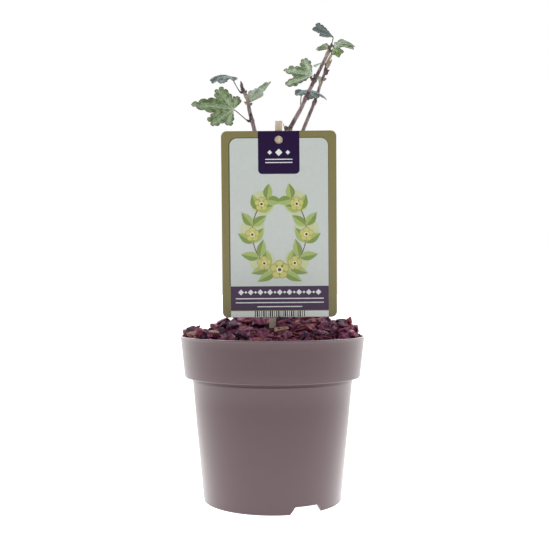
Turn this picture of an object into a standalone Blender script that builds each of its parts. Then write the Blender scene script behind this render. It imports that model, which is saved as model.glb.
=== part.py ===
"""A young gooseberry bush in its round nursery pot.

A short leg stands in a mound of bark mulch and forks into three tapering boughs. Each bough carries leaf
sprays: a spur with one or more stalked, lobed leaves. A picture card on a split-wood stick stands in front.
The origin is on the table under the pot's middle, +Z is up and the front of the pot looks along -Y.
"""

import math
import random
from dataclasses import dataclass

import bmesh
import bpy
from mathutils import Vector

MM = 0.001
GAP = 0.3 * MM
SHARP_ANGLE = 25

# Pot: a tapered wall, a stacking collar round its top and a thin foot ring
POT_HEIGHT = 150.5 * MM
RIM_RADIUS = 85 * MM
COLLAR_HEIGHT = 37.4 * MM
COLLAR_FOOT_RADIUS = 80.4 * MM
BODY_TOP_RADIUS = 73.5 * MM
FOOT_RADIUS = 63.4 * MM
WALL = 1.4 * MM
FOOT_WALL = 2.8 * MM
FOOT_ROUNDING = 1.6 * MM
EDGE_ROUNDING = 1 * MM
BASE_UNDERSIDE = 8 * MM
BASE_THICKNESS = 1.6 * MM
POT_SIDES = 64
NOTCHES = 3
NOTCH_AZIMUTH = math.radians(28)
NOTCH_WIDTH = 32 * MM
NOTCH_TOP_WIDTH = 23 * MM
NOTCH_HEIGHT = 6.9 * MM
NOTCH_ROUNDING = 1.6 * MM
CUT_MARGIN = 4 * MM
DRAIN_HOLES = 8
DRAIN_RADIUS = 4 * MM
DRAIN_CIRCLE = 44 * MM
DRAIN_SIDES = 8

# Compost and the mulch mound on it
COMPOST_TOP = 141.5 * MM
FILL_SIDES = 32
MULCH_RIM_LEVEL = 147 * MM
MOUND_HEIGHT = 15.5 * MM
MOUND_CENTRE = Vector((8 * MM, 16 * MM))
MOUND_CREST_RADIUS = 30 * MM
MOUND_SPREAD = 47 * MM
MOUND_RINGS = 5
LEG_RINGS = (1.0, 1.9)
FIRST_RING = 3.0
CHIP_COUNT = 66
CHIP_TRIES = 14
CHIP_LENGTHS = (12 * MM, 22 * MM)
CHIP_WIDTHS = (9 * MM, 15 * MM)
CHIP_THICKNESSES = (4 * MM, 6.5 * MM)
CHIP_TILT = math.radians(26)
CHIP_JITTER = 0.16
CHIP_LIFT = (-0.1, 0.4)
CHIP_HALF = 0.6
CHIP_SEED = 12

# Leg of the bush, from its flat cut at mulch level to the fork
LEG_FOOT = Vector((3 * MM, 6 * MM, 165 * MM))
LEG_CLEARING = 8.5 * MM
FLARE_RADIUS = 2.4 * MM
FLARE_HEIGHT = 9 * MM
LIMB_SIDES = 7
LIMB_STEP = 11 * MM
KNOT_SPREAD = 3 * MM
SHORTEST_ROW = 0.8 * MM

# Card and its stick, which lean forward together from the stick's foot in the mulch
CARD_WIDTH = 101.7 * MM
CARD_HEIGHT = 164.8 * MM
CARD_THICKNESS = 0.5 * MM
CARD_CORNER = 5 * MM
CARD_CENTRE = Vector((6 * MM, -33 * MM, 250.4 * MM))
CARD_PITCH = math.radians(2.7)
CARD_ROLL = math.radians(-0.45)
CARD_HOLE_RADIUS = 3.5 * MM
CARD_HOLE_DROP = 7.9 * MM
CORNER_STEPS = 5
STICK_WIDTH = 6.6 * MM
STICK_DEPTH = 2.6 * MM
STICK_OVER_CARD = 8.8 * MM
STICK_UNDER_CARD = 72 * MM
STICK_OFFSET = -3.2 * MM
STICK_POINT = 16 * MM
STICK_LEAN = math.radians(2.2)
STICK_ROWS = 9
STICK_SEED = 5
STICK_SECTION = ((-1, -0.6), (-0.75, -1), (0.7, -1), (1, -0.5), (1, 0.6), (0.7, 1), (-0.75, 1), (-1, 0.5))
STICK_POINT_SHARE = 0.25
STICK_WIDTH_WAVER = 0.07
STICK_DEPTH_WAVER = 0.1

# Leaves and their stalks
BLADE_THICKNESS = 0.5 * MM
SMALL_BLADE = 20 * MM
SMALL_THICKNESS = 0.3 * MM
STALK_RADIUS = 0.6 * MM
STALK_SIDES = 3
STALK_STEPS = 5
STALK_EASE = 0.35
STALK_SUNK = ((0.14, 0.85), (0.3, 0.6))
SPUR_SIDES = 5
SPUR_RADII = (1.3 * MM, 1.15 * MM, 0.95 * MM)
SPUR_BEND = 0.4
SPUR_OVERLAP = 0.8 * MM
LOBE_ANGLE = math.radians(52)
LOBE_LENGTHS = {3: (0.74, 1.0, 0.74), 5: (0.5, 0.8, 1.0, 0.8, 0.5)}
SINUS_DEPTH = 0.66
BASE_SINUS = 0.2
LOBE_SHARES = (-0.7, -0.25, 0.25, 0.7, 1.0)
LIMB_TIP = 4 * MM
LIMB_TIP_SHARE = 0.6


@dataclass(frozen=True)
class Limb:
    """A tapering limb: the places it passes through in millimetres, its radii and its swollen nodes."""

    name: str
    way: tuple
    foot_radius: float
    tip_radius: float
    knots: tuple = ()
    flare: float = 0.0


@dataclass(frozen=True)
class Leaf:
    """A leaf: where stalk meets blade and where the blade's tip is, in millimetres, and the blade's form.

    face is the way the upper side looks, fold the lift of each half about the midrib in degrees, arch the
    turn of the midrib from base to tip in degrees, cup the droop of its sides, broad the width against a
    flat round leaf and fan how far the lobes on either side of the midrib are spread.
    """

    joint: tuple
    tip: tuple
    face: tuple
    fold: float = 10
    arch: float = 25
    cup: float = 0.08
    broad: float = 1.0
    lobes: int = 5
    fan: tuple = (1.0, 1.0)
    rings: int = 2


@dataclass(frozen=True)
class Spray:
    """A spur that leaves a limb at a share of its length towards a side, and the leaves on it."""

    name: str
    limb: str
    share: float
    side: tuple
    spur: float
    leaves: tuple
    tint: tuple


GREEN = (0.10, 0.19, 0.06)
BLUE_GREEN = (0.09, 0.15, 0.14)
PALE_GREEN = (0.26, 0.34, 0.20)

LEG = Limb(
    "leg",
    ((3, 6, 165), (3.6, 6.3, 174), (3, 6.8, 186), (2.5, 7, 199)),
    5.0 * MM,
    4.6 * MM,
    ((0.45, 0.7 * MM),),
    FLARE_RADIUS,
)

BOUGHS = (
    Limb(
        "left_bough",
        ((2, 7, 188.5), (-5.5, 9.5, 207), (-9, 12, 242), (-10, 11, 278), (-12.5, 8, 314), (-16.8, 6, 340.7),
         (-21.5, 8, 359.4), (-23.3, 9, 370.4), (-29.6, 10, 384)),
        2.9 * MM,
        1.7 * MM,
        ((0.18, 0.5 * MM), (0.45, 0.5 * MM), (0.62, 0.5 * MM), (0.82, 0.7 * MM), (0.94, 0.4 * MM)),
    ),
    Limb(
        "front_bough",
        ((3, 5, 183), (9.5, -1, 201), (11, -4, 250), (10, -6, 292), (11.4, -7.5, 324), (15.1, -8, 338.6),
         (25, -10, 355.8), (33.1, -11, 373.1), (40.6, -12, 388), (47, -12, 400.7), (53, -12, 413.8)),
        3.1 * MM,
        1.5 * MM,
        ((0.2, 0.5 * MM), (0.42, 0.6 * MM), (0.61, 1.1 * MM), (0.73, 0.6 * MM), (0.86, 0.9 * MM),
         (0.97, 0.7 * MM)),
    ),
    Limb(
        "back_bough",
        ((4, 9, 192.5), (8.5, 14.5, 210), (13, 18, 252), (18.5, 19, 292), (24.5, 18, 327), (28.8, 18, 342.9),
         (39.2, 20, 368.6), (44.7, 20, 384.9), (50, 19, 399.1), (51.2, 18, 406.1), (55.9, 16, 414.5)),
        2.9 * MM,
        1.3 * MM,
        ((0.22, 0.5 * MM), (0.4, 0.5 * MM), (0.6, 0.5 * MM), (0.77, 0.9 * MM), (0.93, 0.8 * MM)),
    ),
)

SPRAYS = (
    Spray(
        "left_tip_spray", "left_bough", 0.965, (-1, -0.1, 0.5), 1.6 * MM,
        (Leaf((-38.7, 14, 391.5), (-58.9, 13, 380.6), (-0.3, -0.25, 1), -14, 50, 0.2, 0.9),),
        BLUE_GREEN,
    ),
    Spray(
        "left_wide_spray", "left_bough", 0.82, (-1, -0.35, 0.1), 1.8 * MM,
        (Leaf((-36.1, -2, 358.6), (-73.4, -10, 360.6), (0.05, -1, 0.25), 8, 12, 0.1, 0.88, fan=(0.78, 1.04)),),
        GREEN,
    ),
    Spray(
        "left_inner_spray", "left_bough", 0.9, (1, 0.5, 0.2), 1.2 * MM,
        (Leaf((-19.2, 12, 370.6), (-0.7, 13, 386.7), (-0.6, 0.2, 0.8), 12, -14, 0.03, 0.85, lobes=3),),
        PALE_GREEN,
    ),
    Spray(
        "left_low_spray", "left_bough", 0.17, (-0.7, 0.7, 0.15), 3 * MM,
        (
            Leaf((-24, 27, 245), (-43, 44, 235), (-0.35, 0.3, 1), arch=35, fold=12, rings=1),
            Leaf((-12, 30, 256), (-14, 49, 264), (0, -0.45, 1), arch=30, fold=18, lobes=3, broad=0.9, rings=1),
        ),
        GREEN,
    ),
    Spray(
        "left_mid_spray", "left_bough", 0.45, (-0.8, -0.3, 0.2), 2.4 * MM,
        (Leaf((-26, 1, 294), (-41, -12, 287), (-0.4, -0.2, 1), arch=32, fold=10, broad=0.85, rings=1),),
        GREEN,
    ),
    Spray(
        "left_high_spray", "left_bough", 0.62, (-0.2, 1, 0.2), 2.6 * MM,
        (
            Leaf((-20, 29, 321), (-30, 52, 313), (-0.2, 0.35, 1), arch=30, fold=14, rings=1),
            Leaf((-5, 24, 328), (3, 38, 332), (0.2, -0.2, 1), arch=22, fold=20, lobes=3, rings=1),
        ),
        BLUE_GREEN,
    ),
    Spray(
        "front_tip_spray", "front_bough", 1.0, (0.2, 0, 1), 2.2 * MM,
        (
            Leaf((56.2, -12, 422.8), (36.9, -8, 432), (0.2, 0.75, 0.6), 26, 14, 0.05, 0.95, 3, (0.62, 0.5)),
            Leaf((59.5, -11, 417.3), (76, -5, 414.4), (-0.1, -0.7, 0.7), fold=-6, arch=60, cup=0.1, broad=0.9),
            Leaf((57.5, -13, 412.8), (61, -18, 402.4), (0.3, -1, 0.3), 8, 10, lobes=3, broad=0.9, rings=1),
            Leaf((51, -4, 414.5), (40.2, 3, 414.9), (-0.1, -0.7, 0.8), fold=10, arch=12, lobes=3, rings=1),
        ),
        BLUE_GREEN,
    ),
    Spray(
        "front_mid_spray", "front_bough", 0.86, (-1, -0.4, 0.3), 1.6 * MM,
        (Leaf((36, -15, 387), (9.6, -21, 389.3), (0.05, -1, -0.1), 14, 14, 0.08, 0.95, 3, (0.6, 1.1)),),
        GREEN,
    ),
    Spray(
        "front_low_spray", "front_bough", 0.73, (0.3, 0.9, 0), 1.4 * MM,
        (Leaf((28.7, 3, 377), (50.8, 3, 369), (0.2, -0.25, 1), fold=-16, arch=46, cup=0.25, broad=0.75),),
        BLUE_GREEN,
    ),
    Spray(
        "front_side_spray", "front_bough", 0.2, (0.9, -0.5, 0.1), 2.8 * MM,
        (
            Leaf((31, -12, 258), (48, -19, 252), (0.3, -0.3, 1), arch=30, fold=12, broad=0.9, rings=1),
            Leaf((27, 4, 268), (41, 9, 277), (-0.3, 0.1, 1), arch=24, fold=16, lobes=3, broad=0.9, rings=1),
        ),
        GREEN,
    ),
    Spray(
        "front_inner_spray", "front_bough", 0.42, (-0.8, -0.6, 0.1), 2.2 * MM,
        (Leaf((-4, -17, 302), (-21, -18, 304), (0, -0.4, 1), arch=26, fold=12, broad=0.8, rings=1),),
        GREEN,
    ),
    Spray(
        "back_bud_spray", "back_bough", 0.885, (-0.9, -0.5, 0.3), 1.2 * MM,
        (Leaf((44.4, 16.6, 389.3), (42.3, 15, 395), (0.6, -1, 0.2), 14, 10, lobes=3, broad=0.7, rings=1),),
        PALE_GREEN,
    ),
    Spray(
        "back_upper_spray", "back_bough", 0.955, (-0.6, 0.8, 0.1), 1.2 * MM,
        (Leaf((46.7, 22, 407), (41.2, 31, 405.5), (-0.2, -0.6, 1), fold=10, arch=20, lobes=3, rings=1),),
        PALE_GREEN,
    ),
    Spray(
        "back_tip_spray", "back_bough", 1.0, (0.5, 0.3, 1), 1.4 * MM,
        (Leaf((58.5, 19, 421), (60.5, 36, 423), (0.1, -0.2, 1), fold=12, arch=30, broad=0.8, rings=1),),
        PALE_GREEN,
    ),
    Spray(
        "back_low_spray", "back_bough", 0.22, (0.6, 0.8, 0.1), 3 * MM,
        (
            Leaf((29, 36, 268), (44, 55, 259), (0.3, 0.35, 1), arch=34, fold=12, rings=1),
            Leaf((11, 40, 273), (4, 61, 274), (0, -0.3, 1), arch=34, fold=16, broad=0.95, rings=1),
        ),
        GREEN,
    ),
    Spray(
        "back_mid_spray", "back_bough", 0.42, (0.9, 0.3, 0.2), 2.6 * MM,
        (Leaf((34, 24, 309), (50, 33, 303), (0.25, 0.1, 1), arch=30, fold=12, broad=0.9, rings=1),),
        GREEN,
    ),
    Spray(
        "back_high_spray", "back_bough", 0.6, (0.1, 1, 0.3), 2.4 * MM,
        (
            Leaf((27, 38, 332), (29, 62, 326), (0.1, 0.4, 1), arch=32, fold=10, rings=1),
            Leaf((16, 30, 333), (3, 41, 336), (-0.2, -0.2, 1), arch=24, fold=18, lobes=3, broad=0.9, rings=1),
        ),
        BLUE_GREEN,
    ),
)


def material(name, colour, roughness, metallic=0.0):
    """Makes a Principled material of one colour."""
    finish = bpy.data.materials.new(name)
    finish.use_nodes = True
    shader = finish.node_tree.nodes["Principled BSDF"]
    shader.inputs["Base Color"].default_value = (*colour, 1.0)
    shader.inputs["Roughness"].default_value = roughness
    shader.inputs["Metallic"].default_value = metallic
    return finish


def add_object(name, bm, finish=None):
    """Turns a bmesh into a linked object, smooth apart from its sharp edges."""
    bmesh.ops.recalc_face_normals(bm, faces=bm.faces)
    mesh = bpy.data.meshes.new(name)
    bm.to_mesh(mesh)
    bm.free()
    mesh.shade_smooth()
    mesh.set_sharp_from_angle(angle=math.radians(SHARP_ANGLE))
    piece = bpy.data.objects.new(name, mesh)
    bpy.context.scene.collection.objects.link(piece)
    if finish is not None:
        mesh.materials.append(finish)
    return piece


def mark_as_cutter(piece):
    """Keeps a cutter out of the finished model."""
    piece.hide_render = True
    piece.display_type = "WIRE"


def combine(piece, others, operation, solver="EXACT"):
    """Joins or cuts a piece by one Boolean on a collection of the others, applies it and removes them."""
    group = bpy.data.collections.new(f"{piece.name}_operands")
    bpy.context.scene.collection.children.link(group)
    for other in others:
        mark_as_cutter(other)
        bpy.context.scene.collection.objects.unlink(other)
        group.objects.link(other)
    boolean = piece.modifiers.new("combine", "BOOLEAN")
    boolean.operand_type = "COLLECTION"
    boolean.collection = group
    boolean.operation = operation
    boolean.solver = solver
    depsgraph = bpy.context.evaluated_depsgraph_get()
    mesh = bpy.data.meshes.new_from_object(piece.evaluated_get(depsgraph))
    piece.modifiers.clear()
    piece.data = mesh
    for other in others:
        bpy.data.objects.remove(other)
    bpy.data.collections.remove(group)
    drop_scraps(piece)
    piece.data.set_sharp_from_angle(angle=math.radians(SHARP_ANGLE))


def drop_scraps(piece):
    """Keeps only the largest connected body of a piece."""
    bm = bmesh.new()
    bm.from_mesh(piece.data)
    left = set(bm.verts)
    bodies = []
    while left:
        body = set()
        front = [left.pop()]
        while front:
            vert = front.pop()
            body.add(vert)
            linked = {edge.other_vert(vert) for edge in vert.link_edges} & left
            left -= linked
            front.extend(linked)
        bodies.append(body)
    bodies.sort(key=len)
    scraps = [vert for body in bodies[:-1] for vert in body]
    bmesh.ops.delete(bm, geom=scraps, context="VERTS")
    bm.to_mesh(piece.data)
    bm.free()


def lathe(profile, sides):
    """Turns a profile of (radius, height) points, first and last on the axis, into a closed bmesh."""
    bm = bmesh.new()
    turns = [2 * math.pi / sides * i for i in range(sides)]
    rings = []
    for radius, height in profile:
        if radius == 0:
            rings.append([bm.verts.new((0, 0, height))])
        else:
            rings.append([bm.verts.new((radius * math.cos(a), radius * math.sin(a), height)) for a in turns])
    for low, high in zip(rings, rings[1:]):
        for i in range(sides):
            following = (i + 1) % sides
            if len(low) == 1:
                bm.faces.new((low[0], high[i], high[following]))
            elif len(high) == 1:
                bm.faces.new((low[i], low[following], high[0]))
            else:
                bm.faces.new((low[i], low[following], high[following], high[i]))
    return bm


def prism(outline, start, end):
    """Extrudes a closed outline of (x, z) points along Y from start to end."""
    bm = bmesh.new()
    face = bm.faces.new([bm.verts.new((x, start, z)) for x, z in outline])
    extruded = bmesh.ops.extrude_face_region(bm, geom=[face])
    moved = [item for item in extruded["geom"] if isinstance(item, bmesh.types.BMVert)]
    bmesh.ops.translate(bm, verts=moved, vec=(0, end - start, 0))
    return bm


def cylinder(radius, start, end, sides):
    """Makes a closed cylinder bmesh along Z."""
    bm = bmesh.new()
    bmesh.ops.create_cone(
        bm, cap_ends=True, segments=sides, radius1=radius, radius2=radius, depth=end - start
    )
    bmesh.ops.translate(bm, verts=bm.verts, vec=(0, 0, (start + end) / 2))
    return bm


def collar_radius(height):
    """The collar's outer radius at a height."""
    share = (height - (POT_HEIGHT - COLLAR_HEIGHT)) / COLLAR_HEIGHT
    return COLLAR_FOOT_RADIUS + (RIM_RADIUS - COLLAR_FOOT_RADIUS) * share


def body_radius(height):
    """The body's outer radius at a height below the collar."""
    return FOOT_RADIUS + (BODY_TOP_RADIUS - FOOT_RADIUS) * height / (POT_HEIGHT - COLLAR_HEIGHT)


def quarter_round(centre, radius, start, steps):
    """Points of a quarter turn from a start angle in degrees, anticlockwise, as (radius, height)."""
    return [
        (
            centre[0] + radius * math.cos(math.radians(start + 90 * i / steps)),
            centre[1] + radius * math.sin(math.radians(start + 90 * i / steps)),
        )
        for i in range(steps + 1)
    ]


def pot_profile():
    """The pot wall's closed section, from the base plate's underside out, up, over the rim and back in."""
    shoulder = POT_HEIGHT - COLLAR_HEIGHT
    rim_half = WALL / 2
    foot = quarter_round((FOOT_RADIUS - FOOT_ROUNDING, FOOT_ROUNDING), FOOT_ROUNDING, 270, 2)
    collar_edge = quarter_round(
        (COLLAR_FOOT_RADIUS - EDGE_ROUNDING, shoulder + EDGE_ROUNDING), EDGE_ROUNDING, 270, 1
    )
    rim = quarter_round((RIM_RADIUS - rim_half, POT_HEIGHT - rim_half), rim_half, 0, 2)
    rim += quarter_round((RIM_RADIUS - rim_half, POT_HEIGHT - rim_half), rim_half, 90, 2)[1:]
    return (
        [(0, BASE_UNDERSIDE), (FOOT_RADIUS - FOOT_WALL, BASE_UNDERSIDE), (FOOT_RADIUS - FOOT_WALL, 0)]
        + foot
        + [(BODY_TOP_RADIUS, shoulder)]
        + collar_edge
        + rim
        + [
            (COLLAR_FOOT_RADIUS - WALL, shoulder + WALL),
            (BODY_TOP_RADIUS - WALL, shoulder + WALL),
            (body_radius(BASE_UNDERSIDE + BASE_THICKNESS) - WALL, BASE_UNDERSIDE + BASE_THICKNESS),
            (0, BASE_UNDERSIDE + BASE_THICKNESS),
        ]
    )


def notch_cutter(azimuth):
    """A wedge through the foot ring, narrower at its top, centred at an azimuth from the front."""
    half, top_half = NOTCH_WIDTH / 2, NOTCH_TOP_WIDTH / 2
    soft = NOTCH_ROUNDING
    outline = [
        (-half, -MM),
        (-half + soft / 2, NOTCH_HEIGHT / 2),
        (-top_half - soft / 2, NOTCH_HEIGHT - soft / 2),
        (-top_half + soft, NOTCH_HEIGHT),
        (top_half - soft, NOTCH_HEIGHT),
        (top_half + soft / 2, NOTCH_HEIGHT - soft / 2),
        (half - soft / 2, NOTCH_HEIGHT / 2),
        (half, -MM),
    ]
    cutter = add_object("notch", prism(outline, -FOOT_RADIUS - CUT_MARGIN, -FOOT_RADIUS + 3 * FOOT_WALL))
    cutter.rotation_euler.z = azimuth
    return cutter


def drain_cutter(index):
    """A round hole through the base plate."""
    turn = 2 * math.pi * index / DRAIN_HOLES
    bottom = BASE_UNDERSIDE - MM
    cutter = add_object("drain", cylinder(DRAIN_RADIUS, bottom, BASE_UNDERSIDE + CUT_MARGIN, DRAIN_SIDES))
    cutter.location = (DRAIN_CIRCLE * math.cos(turn), DRAIN_CIRCLE * math.sin(turn), 0)
    return cutter


def build_pot():
    """The pot: a turned wall with notches in its foot ring and drain holes in its base."""
    plastic = material("taupe_plastic", (0.14, 0.10, 0.12), 0.45)
    pot = add_object("pot", lathe(pot_profile(), POT_SIDES), plastic)
    notches = [notch_cutter(NOTCH_AZIMUTH + 2 * math.pi * i / NOTCHES) for i in range(NOTCHES)]
    drains = [drain_cutter(i) for i in range(DRAIN_HOLES)]
    combine(pot, notches + drains, "DIFFERENCE")
    return pot


def build_compost():
    """The compost: a plug that fills the pot up to the mulch."""
    shoulder = POT_HEIGHT - COLLAR_HEIGHT + WALL + GAP
    bottom = BASE_UNDERSIDE + BASE_THICKNESS + GAP
    inset = WALL + GAP
    profile = [
        (0, bottom),
        (body_radius(bottom) - inset, bottom),
        (BODY_TOP_RADIUS - inset, shoulder),
        (COLLAR_FOOT_RADIUS - inset, shoulder),
        (collar_radius(COMPOST_TOP) - inset, COMPOST_TOP),
        (0, COMPOST_TOP),
    ]
    compost = add_object("compost", lathe(profile, FILL_SIDES), material("compost", (0.02, 0.012, 0.01), 0.95))
    combine(compost, [stick_piece("stick_slot", GAP)], "DIFFERENCE")
    return compost


def smooth_step(value):
    """Eases a value from 0 to 1."""
    value = min(max(value, 0.0), 1.0)
    return value * value * (3 - 2 * value)


def mound_height(x, y):
    """Height of the mulch mound over a point."""
    away = (Vector((x, y)) - MOUND_CENTRE).length
    share = smooth_step((away - MOUND_CREST_RADIUS) / MOUND_SPREAD)
    height = MULCH_RIM_LEVEL + MOUND_HEIGHT * (1 - share)
    clearing = (Vector((x, y)) - LEG_FOOT.xy).length / LEG_CLEARING
    return height + (LEG_FOOT.z - GAP - height) * (1 - smooth_step(clearing - 1))


def mound_bmesh():
    """The mound as a closed body on the compost."""
    bm = bmesh.new()
    bottom = COMPOST_TOP + GAP
    edge = collar_radius(bottom) - WALL - GAP
    turn = 2 * math.pi / FILL_SIDES
    round_ring = [Vector((math.cos(turn * i), math.sin(turn * i))) for i in range(FILL_SIDES)]
    rings = [[LEG_FOOT.xy + way * LEG_CLEARING * factor for way in round_ring] for factor in LEG_RINGS]
    first = LEG_CLEARING * FIRST_RING
    for row in range(MOUND_RINGS):
        radius = first + (edge - first) * row / (MOUND_RINGS - 1)
        rings.append([way * radius for way in round_ring])
    layers = [[bm.verts.new((x, y, mound_height(x, y))) for x, y in ring] for ring in rings]
    layers.append([bm.verts.new((x, y, bottom)) for x, y in rings[-1]])
    top = bm.verts.new((*LEG_FOOT.xy, LEG_FOOT.z - GAP))
    base = bm.verts.new((0, 0, bottom))
    for i in range(FILL_SIDES):
        following = (i + 1) % FILL_SIDES
        bm.faces.new((top, layers[0][i], layers[0][following]))
        bm.faces.new((base, layers[-1][following], layers[-1][i]))
        for inner, outer in zip(layers, layers[1:]):
            bm.faces.new((inner[i], outer[i], outer[following], inner[following]))
    return bm


def chip_bmesh(rng, size):
    """A bark chip: a slab with its corners pushed about."""
    bm = bmesh.new()
    bmesh.ops.create_cube(bm, size=1.0)
    for vert in bm.verts:
        for axis in range(3):
            vert.co[axis] *= size[axis] * (1 + rng.uniform(-CHIP_JITTER, CHIP_JITTER))
    return bm


def near_box(centre, yaw, size, point, clearance):
    """True if a point in plan is over a turned chip or within a clearance of it."""
    away = point - centre
    along = away.x * math.cos(yaw) + away.y * math.sin(yaw)
    across = away.y * math.cos(yaw) - away.x * math.sin(yaw)
    return abs(along) < size[0] * CHIP_HALF + clearance and abs(across) < size[1] * CHIP_HALF + clearance


def chip_fits(chip):
    """True if a placed chip stays clear of the pot's wall and the compost."""
    bpy.context.view_layer.update()
    corners = [chip.matrix_world @ vert.co for vert in chip.data.vertices]
    inside = [corner.xy.length < collar_radius(corner.z) - WALL - 2 * GAP for corner in corners]
    return all(inside) and min(corner.z for corner in corners) > COMPOST_TOP + 2 * GAP


def place_chip(rng, index, stick_foot):
    """One bark chip at its place on an even spiral, or None where it finds no room."""
    reach = math.sqrt((index + 0.5) / CHIP_COUNT) * (RIM_RADIUS - WALL)
    around = index * math.pi * (3 - math.sqrt(5))
    for _ in range(CHIP_TRIES):
        size = [rng.uniform(*CHIP_LENGTHS), rng.uniform(*CHIP_WIDTHS), rng.uniform(*CHIP_THICKNESSES)]
        yaw = rng.uniform(0, math.pi)
        tilt = (rng.uniform(-CHIP_TILT, CHIP_TILT), rng.uniform(-CHIP_TILT, CHIP_TILT))
        lift = rng.uniform(*CHIP_LIFT) * size[2]
        inward = reach - rng.uniform(0, 0.5) * size[1]
        centre = Vector((inward * math.cos(around), inward * math.sin(around)))
        if near_box(centre, yaw, size, LEG_FOOT.xy, LEG_CLEARING):
            continue
        if near_box(centre, yaw, size, stick_foot, STICK_WIDTH * 0.75):
            continue
        chip = add_object("chip", chip_bmesh(rng, size))
        chip.location = (*centre, mound_height(*centre) + lift)
        chip.rotation_euler = (*tilt, yaw)
        if chip_fits(chip):
            return chip
        bpy.data.objects.remove(chip)
    return None


def build_mulch():
    """The mulch: a mound with bark chips fused on, clear of the leg's foot and the stick."""
    rng = random.Random(CHIP_SEED)
    mulch = add_object("bark_mulch", mound_bmesh(), material("bark", (0.10, 0.035, 0.03), 0.85))
    stick_foot = stick_point_at(mound_height(0, CARD_CENTRE.y))
    placed = [place_chip(rng, index, stick_foot) for index in range(CHIP_COUNT)]
    combine(mulch, [chip for chip in placed if chip], "UNION", "MANIFOLD")
    combine(mulch, [stick_piece("stick_slot", GAP)], "DIFFERENCE")
    return mulch


def card_frame():
    """The empty that the card and its stick hang from, at the card's middle."""
    holder = bpy.data.objects.get("card_frame")
    if holder is None:
        holder = bpy.data.objects.new("card_frame", None)
        bpy.context.scene.collection.objects.link(holder)
        holder.location = CARD_CENTRE
        holder.rotation_euler = (CARD_PITCH, CARD_ROLL, 0)
    return holder


def card_outline():
    """The card's outline with round corners, as (x, z) points about its middle."""
    points = []
    for corner, (side_x, side_z) in enumerate(((1, 1), (-1, 1), (-1, -1), (1, -1))):
        centre_x = side_x * (CARD_WIDTH / 2 - CARD_CORNER)
        centre_z = side_z * (CARD_HEIGHT / 2 - CARD_CORNER)
        for step in range(CORNER_STEPS + 1):
            angle = math.radians(90 * (corner + step / CORNER_STEPS))
            points.append((centre_x + CARD_CORNER * math.cos(angle), centre_z + CARD_CORNER * math.sin(angle)))
    return points


def build_card():
    """The picture card: a thin plate with round corners and a hanging hole near its top."""
    card = add_object(
        "picture_card",
        prism(card_outline(), -CARD_THICKNESS / 2, CARD_THICKNESS / 2),
        material("card", (0.62, 0.62, 0.55), 0.35),
    )
    hole = add_object("hole", cylinder(CARD_HOLE_RADIUS, -2 * MM, 2 * MM, 16))
    hole.rotation_euler.x = math.radians(90)
    hole.location.z = CARD_HEIGHT / 2 - CARD_HOLE_DROP
    combine(card, [hole], "DIFFERENCE")
    card.parent = card_frame()
    return card


def stick_point_at(height):
    """The stick's middle, in plan, where it passes a height."""
    down = CARD_CENTRE.z - height
    back = CARD_THICKNESS / 2 + GAP + STICK_DEPTH / 2 + down * math.tan(CARD_PITCH)
    left = down * math.tan(STICK_LEAN + CARD_ROLL) - STICK_OFFSET
    return CARD_CENTRE.xy + Vector((-left, back))


def stick_piece(name, grow=0.0, finish=None):
    """The split-wood stick behind the card, pointed at its foot, or its slot if grown by a gap."""
    rng = random.Random(STICK_SEED)
    bm = bmesh.new()
    top = CARD_HEIGHT / 2 + STICK_OVER_CARD
    bottom = -CARD_HEIGHT / 2 - STICK_UNDER_CARD
    heights = [top + (bottom + STICK_POINT - top) * row / (STICK_ROWS - 2) for row in range(STICK_ROWS - 1)]
    heights.append(bottom)
    middle = CARD_THICKNESS / 2 + GAP + STICK_DEPTH / 2
    rings = []
    for height in heights:
        narrow = STICK_POINT_SHARE if height == bottom else 1.0
        half = STICK_WIDTH / 2 * narrow * (1 - rng.uniform(0, STICK_WIDTH_WAVER)) + grow
        deep = STICK_DEPTH / 2 * narrow * (1 - rng.uniform(0, STICK_DEPTH_WAVER)) + grow
        rings.append([bm.verts.new((half * x, middle + deep * y, height)) for x, y in STICK_SECTION])
    for upper, lower in zip(rings, rings[1:]):
        for i in range(len(upper)):
            following = (i + 1) % len(upper)
            bm.faces.new((upper[i], upper[following], lower[following], lower[i]))
    bm.faces.new(rings[0])
    bm.faces.new(rings[-1])
    stick = add_object(name, bm, finish)
    stick.parent = card_frame()
    stick.rotation_euler.y = STICK_LEAN
    stick.location.x = STICK_OFFSET
    return stick


def smooth_route(way, step):
    """Points at about even steps along a Catmull-Rom curve through a limb's places, in metres."""
    places = [Vector(place) * MM for place in way]
    places = [places[0] * 2 - places[1]] + places + [places[-1] * 2 - places[-2]]
    route = [places[1].copy()]
    for before, start, end, after in zip(places, places[1:], places[2:], places[3:]):
        count = max(1, round((end - start).length / step))
        for i in range(1, count + 1):
            t = i / count
            route.append(
                0.5
                * (
                    2 * start
                    + (end - before) * t
                    + (2 * before - 5 * start + 4 * end - after) * t**2
                    + (3 * start - before - 3 * end + after) * t**3
                )
            )
    return route


def lengths_along(route):
    """Distance of each point of a route from its start."""
    total = [0.0]
    for start, end in zip(route, route[1:]):
        total.append(total[-1] + (end - start).length)
    return total


def limb_radius(limb, share, length):
    """A limb's radius at a share of its length: an even taper, swollen nodes and a flare at the foot."""
    radius = limb.foot_radius + (limb.tip_radius - limb.foot_radius) * share
    for place, swell in limb.knots:
        away = abs(share - place) * length / KNOT_SPREAD
        radius += swell * max(0.0, 1 - away) ** 1.5
    from_tip = (1 - share) * length / LIMB_TIP
    if limb.flare:
        radius += limb.flare * max(0.0, 1 - share * length / FLARE_HEIGHT) ** 2
    elif from_tip < 1:
        radius *= LIMB_TIP_SHARE + (1 - LIMB_TIP_SHARE) * from_tip
    return radius


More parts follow.
